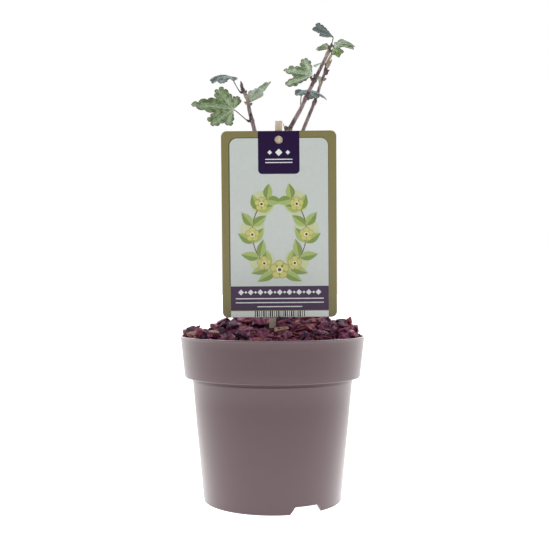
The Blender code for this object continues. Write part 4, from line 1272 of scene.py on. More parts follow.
    def add_sheet(self, store: MeshStore, slot: int) -> None:
        """Adds the sheet with its thickness; the slots from slot on are upper, halo, under and margin."""
        rings = [[(u * share, v * share) for u, v in self.base] for share in self.SHARES]
        rings += [self.inset, self.toothed]
        flat = [(0.0, 0.0)] + [spot for ring in rings for spot in ring]
        middle = [self.point(u, v) for u, v in flat]
        count, depth = len(self.base), len(rings)
        faces: list[Face] = []
        slots: list[int] = []
        for ray in range(count - 1):
            faces.append((0, 1 + ray, 2 + ray))
            slots.append(slot + 1)
            for ring in range(depth - 1):
                low, high = 1 + ring * count + ray, 1 + (ring + 1) * count + ray
                faces.append((low, high, high + 1, low + 1))
                near = self.from_vein(*flat[low]) < self.HALO * self.rng.uniform(0.6, 1.4)
                slots.append(slot + (3 if ring == depth - 2 else int(near)))
        normals = [Vector() for _ in middle]
        for face in faces:
            first, second, third = (middle[index] for index in face[:3])
            normal = (second - first).cross(third - first)
            for index in face:
                normals[index] += normal
        half = self.THICKNESS / 2
        top = [point + normal.normalized() * half for point, normal in zip(middle, normals)]
        bottom = [point - normal.normalized() * half for point, normal in zip(middle, normals)]
        total = len(middle)
        lower = [tuple(total + index for index in reversed(face)) for face in faces]
        lower_slots = [slot + 3 if given == slot + 3 else slot + 2 for given in slots]
        first_ray = [0] + [1 + ring * count for ring in range(depth)]
        edge = [1 + (depth - 1) * count + ray for ray in range(1, count)]
        last_ray = [ring * count for ring in range(depth - 1, 0, -1)]
        loop = first_ray + edge + last_ray
        rim = [(a, total + a, total + b, b) for a, b in zip(loop, loop[1:] + loop[:1])]
        store.add(top + bottom, faces + lower + rim, slots + lower_slots + [slot + 3] * len(rim))

    def add_veins(self, store: MeshStore, slot: int) -> None:
        """Adds the veins as ridges that stand out on both sides."""
        size = 0.55 + 0.45 * min(1.0, self.length / (30 * MM))
        forms = ((self.veins, self.VEIN_FORM), (self.side_veins, self.SIDE_VEIN_FORM))
        for lines, (thick, thin, steps) in forms:
            for (au, av), (bu, bv) in lines:
                rows = []
                for share in (step / steps for step in range(steps + 1)):
                    spot = self.point(au + (bu - au) * share, av + (bv - av) * share)
                    rows.append((spot, (thick + (thin - thick) * share) * size))
                add_tube(store, rows, self.VEIN_SIDES, slot)


@dataclass
class Foliage:
    """All leaf blades, stalks, spurs and buds, joined by kind."""

    stalk_radius: float = 0.58 * MM
    stalk_steps: int = 16
    stalk_sides: int = 10
    stalk_ease: float = 0.14
    spur_bend: float = 0.4
    spur_overlap: float = 0.8 * MM
    spur_radii: tuple[float, float, float] = (1.35 * MM, 1.15 * MM, 0.9 * MM)
    thorn_share: float = 0.636
    thorn_length: float = 10.5 * MM
    thorn_radius: float = 1.0 * MM
    thorn_way: tuple[float, float, float] = (-0.28, -0.15, 0.95)
    thorn_steps: tuple[float, ...] = (0.0, 0.2, 0.4, 0.6, 0.8, 0.95, 1.0)

    def spur(self, spray: Spray) -> tuple[Vector, Vector, Vector, Vector]:
        """Root, bend, end and lean of a spray's spur, as the solids have them."""
        limb = limb_named(spray.limb)
        centre, run, radius = limb.place(spray.share)
        if spray.share == 1.0:
            root, side = centre + run * GAP, run
        else:
            side = Vector(spray.side)
            side = (side - run * side.dot(run)).normalized()
            root = centre + side * (radius + GAP)
        lean = (side + Vector((0, 0, 0.5))).normalized()
        length = spray.spur * MM
        bend = root + side * length * self.spur_bend
        return root - side * 2 * GAP, bend, bend + lean * length * (1 - self.spur_bend), lean

    def stalk_rows(self, blade: Blade, start: Vector, run: Vector) -> list[Row]:
        """A stalk's rows from its spur to the blade's joint, slimmer in the middle."""
        inward = (blade.point(0.12, 0) - blade.joint).normalized()
        reach = (blade.joint - start).length
        first = start + run * reach * self.stalk_ease
        last = blade.joint - inward * reach * self.stalk_ease
        rows = []
        for step in range(self.stalk_steps + 1):
            t = step / self.stalk_steps
            spot = start * (1 - t) ** 3 + first * 3 * t * (1 - t) ** 2 + last * 3 * t**2 * (1 - t)
            spot += blade.joint * t**3
            rows.append((spot, self.stalk_radius * (1.35 - 0.6 * min(1.0, t * 3) + 0.15 * t)))
        rows.append((blade.point(0.05, 0), self.stalk_radius * 0.85))
        return rows

    def add_thorn(self, store: MeshStore) -> None:
        """Adds the one large thorn, which stands beside the stick on the front bough."""
        centre, _, radius = limb_named("front_bough").place(self.thorn_share)
        way = Vector(self.thorn_way).normalized()
        foot = centre + Vector((-radius * 0.7, 0, 0))
        rows = [(foot + way * self.thorn_length * share, self.thorn_radius * (1.02 - share) ** 0.7)
                for share in self.thorn_steps]
        add_tube(store, rows, 8, 1)

    def build(self) -> None:
        """Builds the blades, the veins, the stalks and the spurs with their buds, each kind as one piece."""
        blades, veins, stalks, spurs = MeshStore(), MeshStore(), MeshStore(), MeshStore()
        tones = list(Tone)
        for number, spray in enumerate(SPRAYS):
            root, bend, end, lean = self.spur(spray)
            add_tube(spurs, list(zip((root, bend, end), self.spur_radii)), 12, 0)
            add_bud(spurs, end - lean * MM, (lean + Vector((0, 0, 0.4))).normalized(), 2.6 * MM, 1.0 * MM, 1)
            for place, leaf in enumerate(spray.leaves):
                blade = Blade(leaf, 31 * number + place)
                tone = tones.index(leaf.tone)
                blade.add_sheet(blades, 4 * tone)
                blade.add_veins(veins, tone)
                rows = self.stalk_rows(blade, end - lean * self.spur_overlap, lean)
                add_tube(stalks, rows, self.stalk_sides, 1 if spray.green_stalk else 0)
        for limb, bud in ((limb, bud) for limb, buds in BUDS.items() for bud in buds):
            centre, run, radius = limb_named(limb).place(bud.share)
            side = Vector(bud.side)
            out = (side - run * side.dot(run)).normalized()
            way = (out * 0.6 + run * 0.8 + side * 0.4).normalized()
            add_bud(spurs, centre + out * radius * 0.7, way, bud.length * MM, bud.radius * MM, bud.slot)
        self.add_thorn(spurs)
        finishes = [finish for tone in tones for finish in tone.value.blade_finishes(tone.name.lower())]
        vein_finishes = [tone.value.vein_finish(tone.name.lower()) for tone in tones]
        spur_finishes = (STEM_DARK, BUD_BROWN, BUD_GREEN, BUD_SCALE, STEM_YOUNG)
        seat(blades.piece("leaf_blades", finishes, 50), [spray.name for spray in SPRAYS])
        seat(veins.piece("leaf_veins", vein_finishes))
        seat(stalks.piece("leaf_stalks", (STALK_PURPLE, STALK_GREEN)))
        seat(spurs.piece("spurs_and_buds", spur_finishes))


@dataclass
class Pot:
    """The moulded nursery pot: wall, stacking collar, rolled rim, foot ring and base plate."""

    sides: int = 192
    lip: float = 0.9 * MM
    edge: float = 1.0 * MM
    foot_wall: float = 2.8 * MM
    foot_round: float = 1.6 * MM
    foot_fillet: float = 1.2 * MM
    base_thickness: float = 1.6 * MM
    ledge_drop: float = 3.6 * MM
    ledge: float = 0.2 * MM
    notches: int = 3
    notch_azimuth: float = radians(28)
    notch_width: float = 32 * MM
    notch_top_width: float = 23 * MM
    notch_height: float = 6.9 * MM
    notch_round: float = 2.2 * MM
    drain_holes: int = 8
    drain_radius: float = 4 * MM
    drain_circle: float = 44 * MM
    # painted highlight: how far below the rim's top the paler plastic reaches
    highlight_band: float = 0.45 * MM
    soft_edge: float = 0.25 * MM

    @staticmethod
    def arc(centre: Flat, radius: float, start: float, end: float, steps: int) -> list[Flat]:
        """Points of an arc between two angles in degrees, as (radius, height)."""
        turns = [radians(start + (end - start) * step / steps) for step in range(steps + 1)]
        return [polar(radius, turn, centre) for turn in turns]

    def body_radius(self, height: float) -> float:
        """The body's outer radius at a height below the collar."""
        return FOOT_RADIUS + (BODY_TOP_RADIUS - FOOT_RADIUS) * height / (POT_HEIGHT - COLLAR_HEIGHT)

    def profile(self) -> list[Flat]:
        """The wall's closed section, from the base's underside out, up, over the rim and back in."""
        shoulder = POT_HEIGHT - COLLAR_HEIGHT
        base_top = BASE_UNDERSIDE + self.base_thickness
        inner_foot = FOOT_RADIUS - self.foot_wall
        ledge = shoulder - self.ledge_drop
        body = self.body_radius(ledge)
        floor = self.body_radius(base_top) - WALL
        lip_centre = (RIM_RADIUS - self.lip, POT_HEIGHT - self.lip)
        collar_top = RIM_RADIUS - 0.55 * MM
        fillet = self.foot_fillet
        points = [(0.0, BASE_UNDERSIDE), (inner_foot - fillet, BASE_UNDERSIDE)]
        points += self.arc((inner_foot - fillet, BASE_UNDERSIDE - fillet), fillet, 90, 0, 4)[1:]
        points += [(inner_foot, 0.4 * MM), (inner_foot + 0.4 * MM, 0.0)]
        points += self.arc((FOOT_RADIUS - self.foot_round, self.foot_round), self.foot_round, 270, 360, 6)
        points += [(self.body_radius(height * MM), height * MM) for height in (30, 60, 90)]
        points += [
            (body, ledge - 0.5 * MM),
            (body + self.ledge, ledge - 0.1 * MM),
            (body + self.ledge, ledge + 0.5 * MM),
            (body + 0.05 * MM, ledge + 1.0 * MM),
            (BODY_TOP_RADIUS - 0.1 * MM, shoulder - 0.5 * MM),
            (BODY_TOP_RADIUS + 0.5 * MM, shoulder),
        ]
        points += self.arc((COLLAR_FOOT_RADIUS - self.edge, shoulder + self.edge), self.edge, 270, 352, 6)
        points += [(COLLAR_FOOT_RADIUS + (collar_top - COLLAR_FOOT_RADIUS) * share,
                    shoulder + COLLAR_HEIGHT * share) for share in (0.25, 0.5, 0.75, 0.93)]
        points += self.arc(lip_centre, self.lip, -50, 180, 12)
        points += [
            (COLLAR_FOOT_RADIUS - WALL + 0.6 * MM, shoulder + WALL + 1.5 * MM),
            (COLLAR_FOOT_RADIUS - WALL - 0.5 * MM, shoulder + WALL),
            (BODY_TOP_RADIUS - WALL, shoulder + WALL),
            (floor, base_top + 1.5 * MM),
            (floor - 1.5 * MM, base_top),
            (0.0, base_top),
        ]
        return points

    def turned(self) -> Object:
        """The profile turned into a closed body."""
        turns = [2 * pi / self.sides * side for side in range(self.sides)]
        rings = [[(*polar(radius, turn), height) for turn in (turns if radius else (0.0,))]
                 for radius, height in self.profile()]
        return object_from_bmesh("nursery_pot", loft(rings))

    def notch_cutter(self, index: int) -> Object:
        """A wedge with soft corners through the foot ring."""
        half, top_half, soft = self.notch_width / 2, self.notch_top_width / 2, self.notch_round
        shoulder = (-top_half - 0.8 * soft, self.notch_height - 1.5 * soft)
        left = [(-half - soft, -MM), (-half, -0.2 * MM), shoulder]
        left += self.arc((-top_half + 0.6 * soft, self.notch_height - soft), soft, 170, 90, 5)
        outline = left + [(-x, z) for x, z in reversed(left)]
        cutter = object_from_bmesh("notch", prism(outline, -FOOT_RADIUS - 4 * MM, -FOOT_RADIUS + 8.4 * MM))
        cutter.rotation_euler.z = self.notch_azimuth + 2 * pi * index / self.notches
        return cutter

    def drain_cutter(self, index: int) -> Object:
        """A round hole through the base plate."""
        cutter = round_cutter("drain", self.drain_radius, 8 * MM, 24)
        turn = 2 * pi * index / self.drain_holes
        cutter.location = (*polar(self.drain_circle, turn), BASE_UNDERSIDE)
        return cutter

    def build(self) -> None:
        """Builds the pot, rounds its cut edges and dresses the compost that fills it."""
        pot = self.turned()
        cutters = [self.notch_cutter(index) for index in range(self.notches)]
        cutters += [self.drain_cutter(index) for index in range(self.drain_holes)]
        cut(pot, cutters)
        soften = pot.modifiers.new("soft_edges", "BEVEL")
        soften.width = self.soft_edge
        soften.segments = 2
        soften.limit_method = "ANGLE"
        soften.angle_limit = radians(50)
        apply_modifiers(pot)
        # painted highlight: the faces at the top of the rim take the paler plastic
        dress(pot, (POT_PLASTIC, RIM_HIGHLIGHT_PLASTIC), lambda face: face.center.z > POT_HEIGHT - self.highlight_band, 32)
        seat(pot, ("pot",))
        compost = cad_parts["compost"]
        for holder in compost.material_slots:
            holder.material = COMPOST.material()


@dataclass
class Mulch:
    """The mound of bark mulch: soil, large chips where the solids have them, and finer bits on top."""

    chip_count: int = 66
    chip_tries: int = 14
    chip_cuts: int = 6
    lengths: Flat = (12 * MM, 22 * MM)
    widths: Flat = (9 * MM, 15 * MM)
    thicknesses: Flat = (4 * MM, 6.5 * MM)
    tilt: float = radians(26)
    jitter: float = 0.16
    seed: int = 12
    sides: int = 120
    rings: int = 30
    shares: tuple[float, ...] = (0.46, 0.24, 0.24, 0.06)
    soil_slot: int = 4
    layer: float = 1.3 * MM
    fibre: tuple[float, float, float] = (14 * MM, 1.6 * MM, 2 * MM)
    lump: float = 6 * MM
    crumb: float = 1.7 * MM

    @staticmethod
    def ease(value: float) -> float:
        """Eases a value from 0 to 1."""
        value = min(max(value, 0.0), 1.0)
        return value * value * (3 - 2 * value)

    def height(self, x: float, y: float) -> float:
        """Height of the mound over a point."""
        away = (Vector((x, y)) - MOUND_CENTRE).length
        share = self.ease((away - MOUND_CREST_RADIUS) / MOUND_SPREAD)
        height = MULCH_RIM_LEVEL + MOUND_HEIGHT * (1 - share)
        clearing = (Vector((x, y)) - LEG_FOOT.xy).length / LEG_CLEARING
        return height + (LEG_FOOT.z - GAP - height) * (1 - self.ease(clearing - 1))

    @staticmethod
    def wall(height: float) -> float:
        """The collar's inner radius at a height."""
        share = (height - (POT_HEIGHT - COLLAR_HEIGHT)) / COLLAR_HEIGHT
        return COLLAR_FOOT_RADIUS + (RIM_RADIUS - COLLAR_FOOT_RADIUS) * share - WALL

    def add_soil(self, store: MeshStore) -> None:
        """Adds the mound as a closed body with small lumps."""
        bottom = COMPOST_TOP + GAP
        edge = self.wall(bottom) - GAP
        points = [Vector((0, 0, self.height(0, 0)))]
        for ring in range(1, self.rings + 1):
            for side in range(self.sides):
                angle = 2 * pi * side / self.sides
                x, y = polar(edge * ring / self.rings, angle)
                lump = noise.noise(Vector((x, y, 0)) / (5 * MM)) * 1.1 * MM
                points.append(Vector((x, y, self.height(x, y) + lump * (ring < self.rings))))
        last = 1 + (self.rings - 1) * self.sides
        points += [Vector((point.x, point.y, bottom)) for point in points[last:]]
        points.append(Vector((0, 0, bottom)))
        faces = []
        for side in range(self.sides):
            following = (side + 1) % self.sides
            faces.append((0, 1 + side, 1 + following))
            for ring in range(self.rings):
                low, high = 1 + ring * self.sides, 1 + (ring + 1) * self.sides
                faces.append((low + side, high + side, high + following, low + following))
            faces.append((len(points) - 1, last + self.sides + following, last + self.sides + side))
        store.add(points, faces, self.soil_slot)

    @staticmethod
    def near(centre: Vector, yaw: float, size: Sequence[float], point: Vector, clearance: float) -> bool:
        """True if a point in plan is over a turned chip or within a clearance of it."""
        away = point - centre
        along = away.x * cos(yaw) + away.y * sin(yaw)
        across = away.y * cos(yaw) - away.x * sin(yaw)
        return abs(along) < size[0] * 0.6 + clearance and abs(across) < size[1] * 0.6 + clearance

    def chip_cage(self, rng: random.Random, size: Sequence[float]) -> BMesh:
        """A slab with its corners pushed about."""
        bm = bmesh.new()
        bmesh.ops.create_cube(bm, size=1.0)
        for vert in bm.verts:
            for axis in range(3):
                vert.co[axis] *= size[axis] * (1 + rng.uniform(-self.jitter, self.jitter))
        return bm

    def roughen(self, bm: BMesh, size: Sequence[float], seed: float, cuts: int) -> None:
        """Gives a chip its ragged, layered and fibrous surface.

        Args:
            bm: the chip as a plain slab about its own middle, its fibres along X.
            size: its length, width and thickness.
            seed: where in the noise it is drawn from.
            cuts: how often each edge is divided.
        """
        bmesh.ops.subdivide_edges(bm, edges=bm.edges, cuts=cuts, use_grid_fill=True)
        shift = Vector((seed, seed * 0.7, -seed))
        for vert in bm.verts:
            place = vert.co.copy()
            shares = Vector((place.x / size[0], place.y / size[1], place.z / size[2])) * 2
            rounding = 1 - 0.12 * max(0.0, shares.xy.length - 0.9)
            layer = round(place.z / self.layer)
            slide = noise.noise(Vector((layer * 3.1, place.y / self.lump, 0)) + shift) * 0.14 * size[0]
            ridge = noise.noise(Vector([part / length for part, length in zip(place, self.fibre)]) + shift)
            lumps = noise.noise_vector(place / self.lump + shift) * 0.11 * size[1]
            crumbs = noise.noise_vector(place / self.crumb + shift) * 0.035 * size[1]
            bent = 0.1 * size[2] * (1 - shares.x**2)
            vert.co.x = place.x * rounding + slide * abs(shares.x)
            vert.co.y = place.y * rounding
            vert.co.z = place.z * (1 - 0.2 * max(0.0, abs(shares.x) - 0.6)) + ridge * 0.17 * size[2] + bent
            vert.co += lumps + crumbs

    def stick_foot(self) -> Vector:
        """The stick's middle, in plan, where it meets the mound."""
        down = CARD_CENTRE.z - self.height(0, CARD_CENTRE.y)
        back = CARD_THICKNESS / 2 + GAP + STICK_DEPTH / 2 + down * tan(CARD_PITCH)
        left = down * tan(STICK_LEAN + CARD_ROLL) - STICK_OFFSET
        return CARD_CENTRE.xy + Vector((-left, back))

    def lay_chips(self, store: MeshStore) -> None:
        """Adds the large chips on their even spiral, where the solids have theirs."""
        rng = random.Random(self.seed)
        tint = random.Random(self.seed + 1)
        stick = self.stick_foot()
        for index in range(self.chip_count):
            reach = sqrt((index + 0.5) / self.chip_count) * (RIM_RADIUS - WALL)
            around = index * pi * (3 - sqrt(5))
            for _ in range(self.chip_tries):
                size = [rng.uniform(*self.lengths), rng.uniform(*self.widths), rng.uniform(*self.thicknesses)]
                yaw = rng.uniform(0, pi)
                tilt = (rng.uniform(-self.tilt, self.tilt), rng.uniform(-self.tilt, self.tilt))
                lift = rng.uniform(-0.1, 0.4) * size[2]
                inward = reach - rng.uniform(0, 0.5) * size[1]
                centre = Vector(polar(inward, around))
                hurdles = ((LEG_FOOT.xy, LEG_CLEARING), (stick, STICK_WIDTH * 0.75))
                if any(self.near(centre, yaw, size, spot, room) for spot, room in hurdles):
                    continue
                bm = self.chip_cage(rng, size)
                place = Matrix.Translation((*centre, self.height(*centre) + lift)) @ rotation((*tilt, yaw))
                corners = [place @ vert.co for vert in bm.verts]
                inside = all(corner.xy.length < self.wall(corner.z) - 2 * GAP for corner in corners)
                if inside and min(corner.z for corner in corners) > COMPOST_TOP + 2 * GAP:
                    self.roughen(bm, size, 7.3 * index, self.chip_cuts)
                    self.keep_inside(bm, place)
                    store.add_bmesh(bm, tint.choices(range(self.soil_slot), self.shares)[0])
                    break
                bm.free()

    def keep_inside(self, bm: BMesh, place: Matrix) -> None:
        """Moves a chip to its place and draws in any point that would pass the pot's wall."""
        for vert in bm.verts:
            vert.co = place @ vert.co
            limit = self.wall(vert.co.z) - 0.5 * MM
            away = vert.co.xy.length
            if away > limit:
                vert.co.x *= limit / away
                vert.co.y *= limit / away

    def scatter(
        self, store: MeshStore, count: int, sizes: Flat, cuts: int, seed: int, inner: float = 0.0,
        bare: bool = False,
    ) -> None:
        """Drops smaller bits on what is already laid.

        Args:
            store: the mulch so far.
            count: how many bits.
            sizes: least and greatest length.
            cuts: how finely each is divided.
            seed: what the places are drawn from.
            inner: the share of the pot's radius that stays clear in the middle.
            bare: True to drop bits only where the soil still shows.
        """
        rng = random.Random(seed)
        ground = BVHTree.FromPolygons(store.vertices, store.faces)
        stick = self.stick_foot()
        for index in range(count):
            length = rng.uniform(*sizes)
            size = [length, length * rng.uniform(0.3, 0.7), length * rng.uniform(0.14, 0.34)]
            reach = sqrt(rng.uniform(inner**2, 1)) * (RIM_RADIUS - WALL - 0.36 * length - 1.5 * MM)
            around = rng.uniform(0, 2 * pi)
            spot = Vector(polar(reach, around))
            yaw, slot = rng.uniform(0, 2 * pi), rng.choices(range(self.soil_slot), self.shares)[0]
            tilt = (rng.gauss(0, 0.4), rng.gauss(0, 0.34))
            if (spot - LEG_FOOT.xy).length < LEG_CLEARING * 0.8 + length / 2:
                continue
            if (spot - stick).length < STICK_WIDTH * 0.6 + length / 2:
                continue
            hit, normal, face, _ = ground.ray_cast(Vector((*spot, 0.2)), -UP)
            if hit is None or (bare and store.slots[face] != self.soil_slot):
                continue
            turn = UP.rotation_difference(normal.lerp(UP, 0.4)).to_matrix().to_4x4()
            place = Matrix.Translation(hit + UP * (size[2] * 0.15)) @ turn @ rotation((*tilt, yaw))
            bm = self.chip_cage(rng, size)
            self.roughen(bm, size, 3.1 * index + seed, cuts)
            self.keep_inside(bm, place)
            store.add_bmesh(bm, slot)

    def build(self) -> None:
        """Builds the mulch as one piece."""
        store = MeshStore()
        self.add_soil(store)
        self.lay_chips(store)
        self.scatter(store, 110, (9 * MM, 16 * MM), 4, 47, 0.84)
        self.scatter(store, 130, (7 * MM, 14 * MM), 3, 41)
        for seed in (45, 49):
            self.scatter(store, 520, (8 * MM, 15 * MM), 3, seed, bare=True)
        self.scatter(store, 150, (2.5 * MM, 6 * MM), 1, 43)
        piece = store.piece("bark_mulch_chips", (*CHIP_FINISHES, MOUND_SOIL), 55)
        seat(piece, ("bark_mulch",))


@dataclass
class PictureCard:
    """The plant card: a printed plate with a generic garland, hung on a split-wood stick."""

    corner: float = 5 * MM
    corner_steps: int = 12
    edge: float = 0.1 * MM
    hole_radius: float = 3.5 * MM
    hole_drop: float = 7.9 * MM
    film: float = 0.02 * MM
    border: float = 7.4 * MM
    panel_inset: float = 6.4 * MM
    panel_corner: float = 6.6 * MM
    outline: float = 0.7 * MM
    outline_shift: float = -0.25 * MM
    tab_width: float = 36.6 * MM
    tab_height: float = 37.6 * MM
    tab_corner: float = 3.6 * MM
    band_top: float = -54.6 * MM
    band_foot: float = -75.9 * MM
    strip_top: float = -76.6 * MM
    garland_centre: Flat = (0.0, -7 * MM)
    garland_radii: Flat = (24 * MM, 33 * MM)
    pairs: int = 6
    leaf_length: float = 17.5 * MM
    leaf_width: float = 8 * MM
    leaf_angle: float = radians(46)
    foot_leaf_angle: float = 118
    foot_leaf_length: float = 19 * MM
    blossom_radius: float = 6.2 * MM
    foot_blossom_radius: float = 8.4 * MM
    wash_shares: tuple[float, ...] = (0.2, 0.55, 0.85)
    wash_radius: float = 11 * MM
    arm_start: float = 8
    arm_sweep: float = 158
    arm_steps: int = 24
    arm_half_width: float = 0.4 * MM
    tab_rules: tuple[float, ...] = (57.4 * MM, 54.6 * MM)
    tab_lozenges: float = 63.5 * MM
    band_rules: tuple[Flat, ...] = ((-65.6 * MM, 0.9), (-69.2 * MM, 0.9), (-72.8 * MM, 0.46))
    band_lozenges: float = -60 * MM
    lozenges: int = 17
    lozenge_pace: float = 4.3 * MM
    stripes: int = 24
    stripe_pace: float = 1.9 * MM
    film_store: MeshStore = field(default_factory=MeshStore)

    def placed(self) -> Matrix:
        """The card's place: its middle, leaning back and slightly rolled."""
        return Matrix.Translation(CARD_CENTRE) @ rotation((CARD_PITCH, CARD_ROLL, 0))

    @staticmethod
    def rounded(
        width: float, height: float, corners: Sequence[float] = (0,) * 4, steps: int = 1,
        centre: Flat = (0, 0),
    ) -> list[Flat]:
        """A rectangle with a rounding for each corner.

        Args:
            width: along X.
            height: along Z.
            corners: radii of the upper right, upper left, lower left and lower right corner.
            steps: points of each corner's arc.
            centre: the rectangle's middle.

        Returns:
            The outline as (x, z) points.
        """
        points = []
        for number, (side_x, side_z) in enumerate(((1, 1), (-1, 1), (-1, -1), (1, -1))):
            radius = corners[number]
            x = centre[0] + side_x * (width / 2 - radius)
            z = centre[1] + side_z * (height / 2 - radius)
            for step in range(steps + 1 if radius else 1):
                angle = radians(90 * (number + (step / steps if radius else 0)))
                points.append(polar(radius, angle, (x, z)))
        return points

    def hole_cutter(self) -> Object:
        """The hanging hole's cutter."""
        cutter = round_cutter("hole", self.hole_radius, 6 * MM, 40)
        cutter.rotation_euler.x = radians(90)
        cutter.location.z = CARD_HEIGHT / 2 - self.hole_drop
        return cutter

    def plate(self) -> None:
        """Builds the plate with fine rounded edges, olive in front and pale behind."""
        inset, half = self.edge, CARD_THICKNESS / 2
        rings = []
        for depth, shrink in ((-half, inset), (-half + inset, 0), (half - inset, 0), (half, inset)):
            size = (CARD_WIDTH - 2 * shrink, CARD_HEIGHT - 2 * shrink)
            outline = self.rounded(*size, (self.corner - shrink,) * 4, self.corner_steps)
            rings.append([(x, depth, z) for x, z in outline])
        plate = object_from_bmesh("card_plate", loft(rings, capped=True))
        cut(plate, [self.hole_cutter()])
        plate.data.transform(self.placed())
        dress(plate, (Ink.OLIVE.finish(), Ink.BACK.finish()), lambda face: face.normal.y > 0.9, 30)
        seat(plate, ("picture_card",))

    def lay(
        self, outline: Sequence[Flat], level: int, ink: Ink, pierced: bool = False
    ) -> None:
        """Prints one flat shape as a thin film over the levels below it.

        Args:
            outline: the shape as (x, z) points.
            level: how many films lie below it.
            ink: its colour.
            pierced: True if the hanging hole passes through it.
        """
        face = -CARD_THICKNESS / 2 - level * self.film
        bm = prism(outline, face + 0.2 * self.film, face - self.film)
        bmesh.ops.recalc_face_normals(bm, faces=bm.faces)
        if pierced:
            layer = object_from_bmesh("layer", bm)
            cut(layer, [self.hole_cutter()])
            bm = bmesh.new()
            bm.from_mesh(layer.data)
            bpy.data.objects.remove(layer)
        bm.transform(self.placed())
        self.film_store.add_bmesh(bm, list(Ink).index(ink))

    @staticmethod
    def disc(centre: Flat, radius: float, steps: int = 24) -> list[Flat]:
        """A round outline."""
        return [polar(radius, 2 * pi * step / steps, centre) for step in range(steps)]

    @staticmethod
    def half_leaf(base: Flat, way: float, length: float, width: float, hand: int) -> list[Flat]:
        """One half of a plain oval leaf, from its base along a direction, on the side of a hand."""
        along = Vector(polar(1, way))
        across = Vector((-along.y, along.x)) * hand
        points = []
        for share in (step / 10 for step in range(11)):
            bulge = width / 2 * sin(pi * share**0.85)
            spot = Vector(base) + along * length * share + across * bulge
            points.append((spot.x, spot.y))
        return points

    def garland_point(self, hand: int, share: float) -> tuple[Flat, float]:
        """A place on one arm of the garland, from its foot at share 0, and the way it runs there."""
        angle = radians(-90 + hand * (self.arm_start + self.arm_sweep * share))
        (wide, tall), (x, z) = self.garland_radii, self.garland_centre
        across, up = cos(angle), sin(angle)
        return (x + wide * across, z + tall * up), atan2(hand * tall * across, -hand * wide * up)

    def garland(self) -> None:
        """Prints the garland: two arms of paired oval leaves with round-petalled blossoms between them."""
        for hand in (-1, 1):
            for share in self.wash_shares:
                self.lay(self.disc(self.garland_point(hand, share)[0], self.wash_radius), 2, Ink.WASH)
            for step in range(self.arm_steps):
                (x, z), way = self.garland_point(hand, step / self.arm_steps)
                (x2, z2), _ = self.garland_point(hand, (step + 1) / self.arm_steps)
                off = Vector((-sin(way), cos(way))) * self.arm_half_width
                stretch = [(x - off.x, z - off.y), (x2 - off.x, z2 - off.y), (x2 + off.x, z2 + off.y),
                           (x + off.x, z + off.y)]
                self.lay(stretch, 3 + step % 2, Ink.STEM)
            for pair in range(self.pairs):
                place, way = self.garland_point(hand, (pair + 0.5) / self.pairs)
                length = self.leaf_length * (1 - 0.04 * pair)
                for side in (-1, 1):
                    turn = way + side * self.leaf_angle
                    self.leaf(place, turn, length, hand, 5 + 2 * (pair % 2) + (side > 0))
            for pair in range(0, self.pairs, 2):
                place, _ = self.garland_point(hand, (pair + 1.0) / self.pairs)
                self.blossom(place, self.blossom_radius)
        foot = self.garland_centre[1] - self.garland_radii[1]
        for hand in (-1, 1):
            base = (hand * 3 * MM, foot - 1.5 * MM)
            self.leaf(base, radians(90 - hand * self.foot_leaf_angle), self.foot_leaf_length, hand, 9)
        self.blossom((0.0, foot), self.foot_blossom_radius)

    def leaf(self, base: Flat, way: float, length: float, hand: int, level: int) -> None:
        """Prints a leaf of a light and a dark half."""
        for half, ink in ((1, Ink.LEAF_LIGHT), (-1, Ink.LEAF_DARK)):
            self.lay(self.half_leaf(base, way, length, self.leaf_width, half * hand), level, ink)

    def blossom(self, place: Flat, radius: float) -> None:
        """Prints a blossom of five round petals with an eye."""
        for level, size, ink in ((10, 0.5, Ink.PETAL_SHADE), (11, 0.41, Ink.PETAL)):
            for petal in range(5):
                spot = polar(0.54 * radius, radians(90 + 72 * petal), place)
                self.lay(self.disc(spot, size * radius, 18), level, ink)
        self.lay(self.disc(place, 0.34 * radius, 18), 12, Ink.GLINT)
        self.lay(self.disc(place, 0.19 * radius, 14), 13, Ink.STEM)

    def ornament(self) -> None:
        """Prints plain rules and lozenges on the tab and the band, and plain stripes on the foot strip."""
        panel = CARD_WIDTH - 2 * self.border
        rules = [(z, 24 * MM, 0.8 * MM) for z in self.tab_rules]
        rules += [(z, panel * share, 0.9 * MM) for z, share in self.band_rules]
        for z, width, height in rules:
            self.lay(self.rounded(width, height, centre=(0, z)), 3, Ink.WHITE)
        for x in (-8 * MM, 0, 8 * MM):
            self.lay(self.lozenge((x, self.tab_lozenges), 2.0 * MM if x else 3.2 * MM), 3, Ink.WHITE)
        for index in range(self.lozenges):
            spot = ((index - (self.lozenges - 1) / 2) * self.lozenge_pace, self.band_lozenges)
            self.lay(self.lozenge(spot, 1.3 * MM if index % 2 else 2.6 * MM), 3, Ink.WHITE)
        foot = -CARD_HEIGHT / 2 + 0.5 * MM
        height = self.strip_top - foot
        for index in range(self.stripes):
            width = (0.5 + 0.8 * (1 + sin(index * 1.9)) / 2) * MM
            x = (index - (self.stripes - 1) / 2) * self.stripe_pace
            self.lay(self.rounded(width, height, centre=(x, foot + height / 2)), 3, Ink.BLACK)

    @staticmethod
    def lozenge(place: Flat, size: float) -> list[Flat]:
        """A square on its corner."""
        x, z = place
        return [(x + size, z), (x, z + size), (x - size, z), (x, z - size)]

